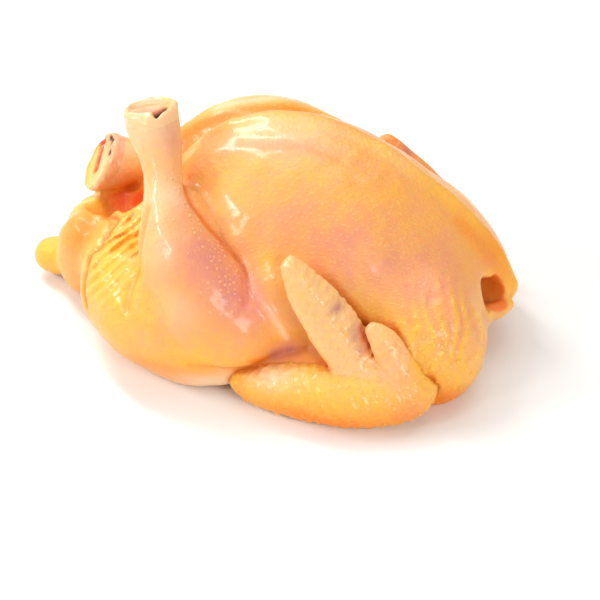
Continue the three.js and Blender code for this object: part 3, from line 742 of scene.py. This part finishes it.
class Wiring:
    """Builds a tree of nodes. The front part that its kinds of node share is given once."""

    def __init__(self, tree, family="ShaderNode"):
        self.tree, self.family = tree, family

    def feed(self, node, socket, value):
        """Gives a socket a value, or the output that feeds it."""
        if isinstance(value, bpy.types.NodeSocket):
            self.tree.links.new(value, node.inputs[socket])
        else:
            node.inputs[socket].default_value = value

    def node(self, kind, sockets=None, **settings):
        new = self.tree.nodes.new(self.family + kind)
        for name, value in settings.items():
            setattr(new, name, value)
        for socket, value in (sockets or {}).items():
            self.feed(new, socket, value)
        return new.outputs

    def group(self, wiring, sockets):
        return self.node("Group", sockets, node_tree=wiring.tree)

    def math(self, operation, *values, **settings):
        return self.node("Math", dict(enumerate(values)), operation=operation, **settings)[0]

    def noise(self, place, scale, detail, roughness, **sockets):
        values = {"Vector": place, "Scale": scale, "Detail": detail, "Roughness": roughness, **sockets}
        return self.node("TexNoise", values)["Fac"]

    def stretch(self, value, low, high, first=0.0, last=1.0):
        """A value between low and high, stretched to run from first to last."""
        return self.node("MapRange", {"Value": value, 1: low, 2: high, 3: first, 4: last})[0]

    def tint(self, share, under, over):
        """The colour under, with the colour over laid on by a share."""
        return self.node("Mix", {0: share, 6: under, 7: over}, data_type="RGBA")[2]


def new_group(name, inputs):
    """A shader group and its inputs: a number makes a value socket, four numbers a colour."""
    group = bpy.data.node_groups.new(name, "ShaderNodeTree")
    for socket, value in inputs.items():
        kind = "NodeSocketColor" if isinstance(value, tuple) else "NodeSocketFloat"
        group.interface.new_socket(socket, in_out="INPUT", socket_type=kind).default_value = value
    return Wiring(group), group.nodes.new("NodeGroupInput").outputs


def give_out(wiring, name, kind, value):
    """Names what a group gives out."""
    wiring.tree.interface.new_socket(name, in_out="OUTPUT", socket_type=kind)
    wiring.tree.links.new(value, wiring.tree.nodes.new("NodeGroupOutput").inputs[name])


# Follicles: a leaning lattice of dots in rows, a little uneven. Sizes in millimetres.
follicle_rows, given = new_group(
    "follicle_rows",
    {"Along": 0.0, "Around": 0.0, "Spacing": 6.0, "Row Spacing": 5.0, "Dot Size": 0.3, "Unevenness": 0.6},
)
row = follicle_rows.math("DIVIDE", given["Around"], given["Row Spacing"])
place_in_row = follicle_rows.math("DIVIDE", given["Along"], given["Spacing"])
place_in_row = follicle_rows.math("MULTIPLY_ADD", row, 0.5, place_in_row)
place = follicle_rows.node("CombineXYZ", {0: place_in_row, 1: row})[0]
sway = follicle_rows.node("TexNoise", {"Vector": place, "Scale": 0.35, "Detail": 1.0}, noise_dimensions="2D")
sway = follicle_rows.node("VectorMath", {0: sway["Color"], 1: (0.9, 0.9, 0)}, operation="MULTIPLY")[0]
place = follicle_rows.node("VectorMath", {0: place, 1: sway}, operation="ADD")[0]
lattice = follicle_rows.node(
    "TexVoronoi", {"Vector": place, "Scale": 1.0, "Randomness": given["Unevenness"]}, voronoi_dimensions="2D"
)
dots = follicle_rows.node(
    "MapRange", {"Value": lattice["Distance"], 1: 0.0, 2: given["Dot Size"], 3: 1.0, 4: 0.0},
    interpolation_type="SMOOTHSTEP",
)
give_out(follicle_rows, "Dots", "NodeSocketFloat", dots[0])

# Skin colour: two mottled skin tones with a fine blush and grain, and over them pale skin with painted highlight, fat,
# orange skin with painted shade, meat, painted shade where skin is tucked, bruises with painted pocket shade, follicle
# dots and raw flesh.
# Of these masks, one is painted shade where skin is tucked; Orange also carries painted shade in the folds and
# underneath, and Pale carries painted highlight.
MASKS = ("Pale", "Fat", "Orange", "Meat", "Tuck", "Bruise", "Dots", "Raw")
UNEVEN_MASKS = ("Fat", "Meat", "Bruise")
skin_colour, given = new_group(
    "skin_colour",
    {
        "Skin": (0.92, 0.39, 0.065, 1), "Mottled Skin": (0.90, 0.36, 0.12, 1),
        "Pale Tone": (0.88, 0.60, 0.36, 1), "Fat Tone": (0.97, 0.52, 0.03, 1),
        "Orange Tone": (0.90, 0.23, 0.003, 1), "Meat Tone": (0.72, 0.23, 0.19, 1),
        "Tuck Tone": (0.72, 0.17, 0.008, 1), "Bruise Tone": (0.42, 0.11, 0.18, 1),
        "Dots Tone": (0.97, 0.62, 0.20, 1), "Raw Tone": (0.90, 0.11, 0.001, 1),
        "Blush Tone": (0.85, 0.30, 0.18, 1), "Blush": 0.42, "Grain": 0.38,
        **{mask: 0.0 for mask in MASKS},
    },
)
place = skin_colour.node("TexCoord")["Object"]
mottle = skin_colour.stretch(skin_colour.noise(place, 70.0, 3.0, 0.6), 0.35, 0.65)
speckle = skin_colour.stretch(skin_colour.noise(place, 260.0, 4.0, 0.65), 0.3, 0.7)
blush = skin_colour.stretch(skin_colour.noise(place, 480.0, 3.0, 0.6), 0.48, 0.68)
blush = skin_colour.math("MULTIPLY", blush, given["Blush"])
grain = skin_colour.math("MULTIPLY", speckle, given["Grain"])
patchy = skin_colour.math("MULTIPLY_ADD", speckle, 0.5, 0.6)
colour = skin_colour.tint(mottle, given["Skin"], given["Mottled Skin"])
colour = skin_colour.tint(blush, colour, given["Blush Tone"])
colour = skin_colour.tint(grain, colour, given["Fat Tone"])
for mask in MASKS:
    share = given[mask]
    if mask in UNEVEN_MASKS:
        share = skin_colour.math("MULTIPLY", share, patchy, use_clamp=True)
    colour = skin_colour.tint(share, colour, given[mask + " Tone"])
give_out(skin_colour, "Colour", "NodeSocketColor", colour)

# Relief of the skin, in millimetres: follicle dots, fine pebbling and slight crinkles.
skin_relief, given = new_group(
    "skin_relief", {"Dots": 0.0, "Dot Height": 0.35, "Pebble Height": 0.06, "Crinkle Height": 0.25}
)
place = skin_relief.node("TexCoord")["Object"]
pebbles = skin_relief.node("TexVoronoi", {"Vector": place, "Scale": 620.0, "Randomness": 0.9}, feature="SMOOTH_F1")
crinkles = skin_relief.noise(place, 170.0, 4.0, 0.6, Distortion=0.4)
height = skin_relief.math("MULTIPLY", given["Dots"], given["Dot Height"])
height = skin_relief.math("MULTIPLY_ADD", pebbles["Distance"], given["Pebble Height"], height)
height = skin_relief.math("MULTIPLY_ADD", crinkles, given["Crinkle Height"], height)
give_out(skin_relief, "Height", "NodeSocketFloat", height)
PAINT_MASKS = ("meat", "bruise", "fat", "orange", "pale", "raw", "tuck")
DOT_SHADE = 0.42
CLOSE_ROWS = 3.4, 3.0


def damp_skin(name, spacings, heights, tones=None):
    """Wet raw skin: coloured by its paint masks, painted shade and highlight among them, pebbled by follicles, with a
    thin glossy film of moisture.

    In millimetres: how far apart the follicles are in their rows, how far apart the rows are, and
    the heights of the follicle dots, the pebbles and the crinkles.
    """
    material = bpy.data.materials.new(name)
    material.use_nodes = True
    skin = Wiring(material.node_tree)
    paint_values = {
        key: skin.node("Attribute", attribute_name=key)["Fac"] for key in ("along", "around", "goose", *PAINT_MASKS)
    }
    dots = skin.group(
        follicle_rows,
        {"Along": paint_values["along"], "Around": paint_values["around"], "Spacing": spacings[0], "Row Spacing": spacings[1]},
    )["Dots"]
    dots = skin.math("MULTIPLY", dots, paint_values["goose"])
    masks = {key.title(): paint_values[key] for key in PAINT_MASKS}
    masks["Dots"] = skin.math("MULTIPLY", dots, DOT_SHADE)
    colour = skin.group(skin_colour, {**masks, **(tones or {})})["Colour"]
    relief = dict(zip(("Dot Height", "Pebble Height", "Crinkle Height"), heights))
    height = skin.group(skin_relief, {"Dots": dots, **relief})["Height"]
    bump = skin.node("Bump", {"Height": height, "Strength": 1.0, "Distance": MM})["Normal"]
    dull = skin.math("MAXIMUM", paint_values["orange"], skin.math("MAXIMUM", paint_values["raw"], paint_values["tuck"]))
    for socket, value in {
        "Base Color": colour, "Normal": bump, "Roughness": 0.5, "Specular IOR Level": 0.45,
        "Subsurface Weight": 0.3, "Subsurface Radius": (1.0, 0.35, 0.12), "Subsurface Scale": 0.004,
        "Coat Weight": skin.stretch(dull, 0.0, 1.0, 0.32, 0.04), "Coat Roughness": 0.13,
    }.items():
        skin.feed(material.node_tree.nodes["Principled BSDF"], socket, value)
    return material


bird_skin.data.materials.append(damp_skin("trunk_skin", (3.9, 3.3), (0.28, 0.24, 0.25)))
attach(bird_skin, "root")
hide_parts("whole_chicken")

# The near wing, folded: the forearm lies along the table, the flat hand is turned back over it,
# and the thumb stands beside the wrist. Its skin is thick, with slanting rows of quill follicles.
NEAR_FOREARM = [
    (1, -74, 12, 6), (6, -74, 12, 9), (15, -77, 13, 11.5), (32, -78.5, 14, 14), (56, -80, 15, 15.3),
    (74, -76.5, 15, 14.8), (85, -73, 16, 13.5), (90, -70, 18, 11.5),
]
NEAR_HAND = [
    (25.5, -64.5, 80, 5, 4), (31, -66.5, 73, 8.5, 5), (38.5, -68, 63, 11.5, 6), (47, -68.5, 51, 13, 7),
    (55.5, -70, 39, 13.5, 8), (65, -73, 27, 13.5, 9), (80, -75.5, 20, 12, 10),
]
NEAR_THUMB = [
    (68.5, -68.5, 50, 4.5, 4), (73, -69.5, 46, 7, 5), (78.5, -71, 38, 8.5, 6.5),
    (84.5, -72.5, 28, 10, 8), (86.5, -72.5, 20, 10, 9),
]
NEAR_THIN_WAY = (0.3, -0.75, 0.6)
WING_CELL = 0.85
FOREARM_RADIUS = 14
ACROSS_HAND = (0.9, 0.3, 0.3)


def forearm_ribs(along, offset):
    """Slanting ribs of follicles round the forearm, each broken into knuckled beads."""
    around = np.arctan2(-offset[..., 1], offset[..., 2]) * FOREARM_RADIUS
    ribs = waves(along - 0.45 * around, 5.3)
    beads = waves(around + 0.3 * along, 5.0)
    fade = np.clip(along / 6, 0, 1) * np.clip((around + 16) / 10, 0, 1)
    return fade * 0.8 * (ribs * (0.55 + 0.45 * beads) - 0.35)


def hand_ridges(along, offset):
    """Long low ridges of the finger bones under the skin, and quill bumps along the outer edge."""
    across = offset @ unit(ACROSS_HAND)
    beads = 0.25 * np.cos(along * 2 * math.pi / 4.4 + across * 0.5) * np.clip((across + 2) / 5, 0, 1)
    return 0.7 * bell((across - 2) / 3) + beads


def modelled(name, clay):
    """The surface of the clay as a piece, and its points in millimetres."""
    vertices, faces = clay.surface()
    vertices = relaxed(vertices, faces, 1)
    return mesh_object(name, vertices, faces), vertices.astype(np.float32)


def wing_piece(name, clay, forearm, hand, thin_way, side):
    """A wing with its rows of follicles, its points, and how far each point belongs to the hand.

    The side is 1 for the near wing and -1 for the far one.
    """
    piece, points = modelled(name, clay)
    from_arm, along_arm, arm_offset = tube_frame(points, forearm)
    from_hand, along_hand, hand_offset = tube_frame(points, hand, thin_way)
    on_arm = from_arm < from_hand
    round_arm = np.arctan2(-side * arm_offset[:, 1], arm_offset[:, 2]) * FOREARM_RADIUS
    across_hand = hand_offset @ unit(np.array(ACROSS_HAND) * (1, side, 1))
    paint(
        piece,
        along=np.where(on_arm, along_arm, along_hand),
        around=np.where(on_arm, round_arm, across_hand),
    )
    return piece, points, np.clip((from_arm - from_hand) / 3 + 0.5, 0, 1)


near = Clay((-8, -98, -3), (104, -46, 90), WING_CELL)
near.add(limb(NEAR_FOREARM, relief=forearm_ribs), 1.5)
near.add(limb(NEAR_HAND, NEAR_THIN_WAY, hand_ridges), 2.0)
near.add(limb(NEAR_THUMB, NEAR_THIN_WAY), 1.5)
near.crease([(45, -80, 34), (53, -84, 32), (61, -84, 32), (70, -84, 31)], 1.6, 1.8)
near.crease([(66, -78, 46), (72, -79, 38), (76, -81, 30)], 1.8, 1.8)
near.press(*EVERYWHERE, lambda points: 0.3 * wobble(points, 13, 21) + 0.16 * wobble(points, 4.5, 23))
near.stand()
near_wing, near_points, near_hand = wing_piece("near_wing", near, NEAR_FOREARM, NEAR_HAND, NEAR_THIN_WAY, 1)
# The forearm's underside by the table is painted orange as shade, and the top of the forearm and the elbow are painted
# pale as highlight.
paint(
    near_wing,
    meat=either(
        0.2 * near_hand * np.clip(wobble(near_points, 5, 61), 0, 1),
        wash(near_points, ((84, -80, 30), (10, 12, 12), 0.3), ((90, -78, 16), (8, 12, 8), 0.4)),
    ),
    bruise=wash(
        near_points,
        ((50, -72, 62), (3, 8, 2.5), 0.95), ((60, -72, 50), (3, 8, 5), 0.6), ((63, -74, 42), (3, 8, 4), 0.45),
    ),
    fat=(0.75 - 0.5 * near_hand + 0.25 * near_hand * np.clip(wobble(near_points, 6, 62), 0, 1))
    * (1 - wash(near_points, ((18, -83, 25), (14, 10, 8), 0.8))),
    orange=wash(
        near_points,
        ((50, -93, 8), (46, 10, 9), 1.0), ((6, -80, 8), (9, 9, 6), 0.7), ((88, -84, 12), (12, 10, 8), 0.7),
        ((74, -70, 40), (8, 8, 10), 0.3),
    ),
    pale=either(0.6 * near_hand, wash(
        near_points,
        ((56, -86, 1), (30, 12, 3.5), 0.9), ((18, -83, 25), (16, 10, 8), 0.9), ((50, -84, 28), (40, 12, 7), 0.5),
    )),
    raw=0.0,
    goose=0.6 + 0.4 * near_hand,
)
wing_skin = damp_skin("wing_skin", CLOSE_ROWS, (0.22, 0.22, 0.25))
near_wing.data.materials.append(wing_skin)
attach(near_wing, "root")

# The far wing: thick pimpled skin like the near one's, grown to the other shoulder and folded the same
# way. Only the edge of its hand shows over the breast.
FAR_FOREARM = [(20, 74, 14, 11), (45, 78, 14, 14), (75, 74, 16, 14), (98, 62, 22, 12)]
FAR_HAND = [
    (100, 60, 22, 13, 9), (93, 69, 30, 12, 9), (80, 71, 41, 12, 8), (68, 69, 55, 11, 7),
    (58, 66, 68, 8.5, 6), (52, 63, 77, 5.5, 4.5),
]
FAR_THIN_WAY = (0.2, 0.75, 0.6)
far = Clay((4, 40, -3), (120, 98, 88), WING_CELL * 1.35)
far.add(limb(FAR_FOREARM, relief=lambda along, offset: forearm_ribs(along, offset * (1, -1, 1))), 1.5)
far.add(limb(FAR_HAND, FAR_THIN_WAY), 1.5)
far.press(*EVERYWHERE, lambda points: 0.3 * wobble(points, 13, 22))
far.stand()
far_wing, far_points, far_hand = wing_piece("far_wing", far, FAR_FOREARM, FAR_HAND, FAR_THIN_WAY, -1)
paint(
    far_wing,
    meat=0.12 * far_hand,
    bruise=wash(far_points, ((62, 62, 72), (4, 6, 4), 0.6)),
    fat=0.8 * (1 - far_hand),
    # The orange along the forearm's underside by the table is painted shade.
    orange=either(0.5 * far_hand, wash(far_points, ((60, 88, 6), (40, 10, 7), 0.8))),
    pale=0.2 * far_hand,
    raw=0.0,
    goose=0.6 + 0.4 * far_hand,
)
far_wing.data.materials.append(wing_skin)
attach(far_wing, "root")

# The near ankle, sawn through below the joint: a curled rim of pale skin round pink meat, a ridge of
# cream gristle across it, and the dark slit that the leg tendon was pulled from.
JOINT_CELL = 0.6
CAP_REACH, CAP_DEPTH = 27, 7


def cut_places(points, cut):
    """Places on a cut: how far right and how far up it as seen in the view, and the height above it."""
    centre, out = np.array(cut[0], np.float32), unit(cut[1])
    right = np.array(VIEW_RIGHT, np.float32)
    right = unit(right - (right @ out) * out)
    away = points - centre
    return away @ right, away @ np.cross(out, right), away @ out


def mark(right, up, line, width):
    """A soft mark along a line on the cut."""
    flat = np.stack([right, up, 0 * right], -1)
    return bell(tube_frame(flat, [(a, b, 0, 0) for a, b in line], steps=4)[0] / width)


def sawn_end(name, shank, cut, relief):
    """The sawn end of a shank: a thin cap that follows the shank's skin, with a relief on its face.

    Comes with each point's place on the cut, its depth under the shank's skin, and whether it is on
    the face.
    """
    centre = np.array(cut[0], float)
    clay = Clay(centre - CAP_REACH, centre + CAP_REACH, JOINT_CELL)
    spans, points = clay.within(*EVERYWHERE)
    right, up, height = cut_places(points, cut)
    side = tube_frame(points, shank)[0] - slight_swells(points) - 0.14 + 0.06 * np.clip(-height - 2, 0, 5)
    rim = bell((side + 1.8) / 1.3)
    face = height - 0.3 - 0.9 * rim * (1 + 0.5 * wobble(points, 7, 41)) - relief(right, up)
    uneven = 0.3 * wobble(points, 5, 42) * np.clip(height + 2.5, 0, 1)
    clay.depth[spans] = np.maximum(smooth_max(side + uneven, face, 1.4), -height - CAP_DEPTH)
    piece, points = modelled(name, clay)
    right, up, _ = cut_places(points, cut)
    depth_in = -tube_frame(points, shank)[0]
    paint(piece, along=right, around=up)
    return piece, right, up, depth_in, np.clip((depth_in - 0.5) / 1.2, 0, 1)


# Places on the cut: right and up, in millimetres.
NEAR_SLIT = [(4.2, -14.5), (6.4, -10), (9, -4)]
NEAR_GRISTLE = [(-9, -10), (-4, -4), (-1.3, -1.1), (3.5, -0.6), (8, 2)]


def near_cut_relief(right, up):
    return (
        0.9 * bell((right - 0.6) / 5.5, (up + 10.5) / 5)
        + 1.1 * mark(right, up, NEAR_GRISTLE, 1.5) - 3.6 * mark(right, up, NEAR_SLIT, 1.5)
        - 0.9 * mark(right, up, [(-8, 5), (-2, 7), (5, 6)], 2.4)
    )


near_joint, right, up, depth_in, on_face = sawn_end("near_ankle", NEAR_DRUMSTICK, NEAR_ANKLE_CUT, near_cut_relief)
inner = np.clip((depth_in - 1.5) / 2, 0, 1)
paint(
    near_joint,
    meat=either(0.85 * inner * bell((right - 0.6) / 6, (up + 10.5) / 5.5), 0.25 * inner),
    bruise=0.0,
    fat=0.4 * on_face * bell((right - 10) / 4),
    # Painted shade: the groove under the front rim and the slit are painted orange, and the slit near black.
    orange=either(
        0.8 * inner * mark(right, up, [(-8, 4), (-2, 6), (5, 5)], 2.2),
        0.9 * mark(right, up, NEAR_SLIT, 2.2) * on_face,
    ),
    pale=0.85,
    raw=np.clip(1.8 * mark(right, up, NEAR_SLIT, 1.3), 0, 1) * on_face,
    goose=0.0,
    tuck=0.0,
)
# On cut flesh the raw colour is near black: painted shade in the near slit, and dried blood in the far marrow.
cut_flesh = damp_skin("cut_flesh", CLOSE_ROWS, (0.0, 0.12, 0.35), {
    "Raw Tone": (0.10, 0.022, 0.006, 1), "Pale Tone": (0.90, 0.58, 0.31, 1), "Bruise Tone": (0.68, 0.045, 0.01, 1),
})
near_joint.data.materials.append(cut_flesh)
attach(near_joint, "root")

# The far ankle, sawn on a slant: a red streak of torn meat, the white end of a tendon, and three
# dark dots where blood dried in the marrow.
RED_STREAK = [(2.6, 13.5), (-0.5, 7.5), (-4.5, -1)]
TENDON_END = (8, 6.3)
MARROW_DOTS = ((15, 2.8, 1.9), (12.6, -2.8, 1.8), (12.2, 8.3, 1.5), (14.2, 6.2, 1.2))


def marrow_dots(right, up):
    return [np.exp(-((right - a) ** 2 + (up - b) ** 2) / size**2) for a, b, size in MARROW_DOTS]


def far_cut_relief(right, up):
    relief = -2.0 * mark(right, up, RED_STREAK, 2.4)
    relief = relief + 1.3 * bell((right - TENDON_END[0]) / 2.6, (up - TENDON_END[1]) / 2.4)
    for dot in marrow_dots(right, up):
        relief = relief - 1.8 * dot
    return relief


far_joint, right, up, _, on_face = sawn_end("far_ankle", FAR_DRUMSTICK, FAR_ANKLE_CUT, far_cut_relief)
tendon = bell((right - TENDON_END[0]) / 2.8, (up - TENDON_END[1]) / 2.6)
dried_blood = either(*marrow_dots(right, up))
paint(
    far_joint,
    meat=0.45 * bell((right - 18) / 8) + 0.15 * on_face,
    bruise=np.clip(1.8 * mark(right, up, RED_STREAK, 2.7), 0, 1) * on_face,
    fat=either(0.75 * on_face * np.clip(-right / 8, 0, 1), 0.3 * on_face),
    orange=either(0.4 * on_face * mark(right, up, RED_STREAK, 4.5), 0.6 * on_face * dried_blood),
    pale=either(0.95 * tendon * on_face, 0.45 * on_face, 0.5 * (1 - on_face)),
    raw=np.clip(2.2 * dried_blood, 0, 1) * on_face,
    goose=0.0,
    tuck=0.0,
)
far_joint.data.materials.append(cut_flesh)
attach(far_joint, "root")

# Painted shade: skin is painted darker and deep orange where it is tucked against other skin, where shade
# falls. Each piece is painted by how much clay stands close in front of it.
whole = Clay(*BIRD_BLOCK, SKIN_CELL)
whole.depth = bird.depth.copy()
for form in (
    limb(NEAR_FOREARM), limb(NEAR_HAND, NEAR_THIN_WAY), limb(NEAR_THUMB, NEAR_THIN_WAY),
    limb(FAR_FOREARM), limb(FAR_HAND, FAR_THIN_WAY),
):
    whole.add(form, 0.5)
for piece, clay, points in (
    (bird_skin, bird, bird_points), (near_wing, near, near_points), (far_wing, far, far_points)
):
    outward = clay.slope(points)
    shade = 0
    for reach, share in ((2.5, 0.5), (6.0, 0.5)):
        shade = shade + share * np.clip(1 - whole.sample(points + outward * reach) / reach, 0, 1)
    # Spots where the painted shade is left off.
    shade_left_off = wash(
        points, ((14, -62, 50), (14, 10, 18), 0.95), ((28, -62, 30), (18, 14, 10), 0.8),
        ((-106, 24, 40), (12, 14, 14), 0.9), ((-72, -30, 58), (20, 34, 22), 0.5),
        ((-98, 28, 64), (12, 14, 12), 0.9), ((20, -58, 50), (12, 12, 24), 0.9),
    )
    tuck = 0.8 * (1 - shade_left_off) * np.clip((shade - 0.25) / 0.6, 0, 1)
    paint(piece, tuck=either(tuck, painted_fold_shade) if piece is bird_skin else tuck)

# Goose flesh: where feathers were plucked the follicles stand up as small domes, fine ones along the
# drumstick and bigger ones on the neck skin and the wings. They are scattered at an even distance.
quill_domes = bpy.data.node_groups.new("quill_domes", "GeometryNodeTree")
for name, kind in (
    ("Skin", "NodeSocketGeometry"), ("Distance Apart", "NodeSocketFloat"), ("Dome Radius", "NodeSocketFloat"),
    ("Dome Height", "NodeSocketFloat"), ("Seed", "NodeSocketInt"), ("Finish", "NodeSocketMaterial"),
    ("Region", "NodeSocketString"),
):
    quill_domes.interface.new_socket(name, in_out="INPUT", socket_type=kind)
quill_domes.interface.new_socket("Domes", in_out="OUTPUT", socket_type="NodeSocketGeometry")
given = quill_domes.nodes.new("NodeGroupInput").outputs
growing = Wiring(quill_domes, family="")
region = growing.node("GeometryNodeInputNamedAttribute", {"Name": given["Region"]}, data_type="FLOAT")[0]
scattered = growing.node(
    "GeometryNodeDistributePointsOnFaces",
    {"Mesh": given["Skin"], "Distance Min": given["Distance Apart"], "Density Max": 400000.0,
     "Density Factor": region, "Seed": given["Seed"]},
    distribute_method="POISSON",
)
dome = growing.node("GeometryNodeMeshUVSphere", {"Segments": 8, "Rings": 6, "Radius": 1.0})["Mesh"]
spread = growing.node("FunctionNodeRandomValue", {2: 0.7, 3: 1.2, "Seed": given["Seed"]}, data_type="FLOAT")[1]
size = growing.node(
    "ShaderNodeCombineXYZ", {"X": given["Dome Radius"], "Y": given["Dome Radius"], "Z": given["Dome Height"]}
)[0]
size = growing.node("ShaderNodeVectorMath", {0: size, "Scale": spread}, operation="SCALE")[0]
domes = growing.node(
    "GeometryNodeInstanceOnPoints",
    {"Points": scattered["Points"], "Instance": dome, "Rotation": scattered["Rotation"], "Scale": size},
)[0]
domes = growing.node("GeometryNodeRealizeInstances", {"Geometry": domes})[0]
domes = growing.node("GeometryNodeSetShadeSmooth", {"Geometry": domes})[0]
domes = growing.node("GeometryNodeSetMaterial", {"Geometry": domes, "Material": given["Finish"]})[0]
quill_domes.links.new(domes, quill_domes.nodes.new("NodeGroupOutput").inputs["Domes"])

quill_skin = damp_skin("quill_skin", CLOSE_ROWS, (0.0, 0.0, 0.0), {
    "Skin": (0.94, 0.46, 0.10, 1), "Mottled Skin": (0.94, 0.44, 0.14, 1), "Meat Tone": (0.84, 0.32, 0.24, 1),
    "Orange Tone": (0.93, 0.34, 0.03, 1), "Tuck Tone": (0.93, 0.34, 0.03, 1), "Blush": 0.0,
})
quill_skin.node_tree.nodes["Principled BSDF"].inputs["Subsurface Weight"].default_value = 0.0


def grow_domes(name, carrier, region, apart, radius, height, seed):
    """Grows domes on a copy of a piece, as a plain mesh of its own. Sizes in millimetres."""
    piece = placed(name, carrier.data.copy())
    grower = piece.modifiers.new("domes", "NODES")
    grower.node_group = quill_domes
    values = {
        "Distance Apart": apart * MM, "Dome Radius": radius * MM, "Dome Height": height * MM, "Seed": seed,
        "Finish": quill_skin, "Region": region,
    }
    for socket in quill_domes.interface.items_tree:
        if socket.name in values:
            grower[socket.identifier] = values[socket.name]
    grown = bpy.data.meshes.new_from_object(piece.evaluated_get(bpy.context.evaluated_depsgraph_get()))
    piece.modifiers.clear()
    piece.data = grown
    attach(piece, "root")


clear_of_table = bird_points[:, 2] > 3
paint(
    bird_skin,
    fine_quills=(on_drumstick < 1) * (bird_stroke(DRUMSTICK_FOLD, 2.2) < 0.3) * bird_wash(
        ((-36, -34, 102), (9, 9, 12), 0.9), ((-25, -48, 90), (10, 10, 12), 1.0), ((-12, -57, 78), (11, 10, 12), 1.0),
        ((-4, -68, 64), (10, 12, 14), 1.0),
    ),
    big_quills=clear_of_table * bird_wash(
        ((90, -68, 40), (14, 10, 14), 1.0), ((104, -66, 30), (12, 12, 16), 1.0), ((96, -74, 20), (14, 10, 12), 0.8),
    ),
)
paint(near_wing, big_quills=0.45 * (1 - near_hand) * (near_points[:, 2] > 3))
grow_domes("drumstick_domes", bird_skin, "fine_quills", 2.2, 0.8, 0.34, 3)
grow_domes("neck_domes", bird_skin, "big_quills", 3.8, 1.2, 0.55, 4)
grow_domes("wing_domes", near_wing, "big_quills", 4.2, 1.0, 0.4, 5)
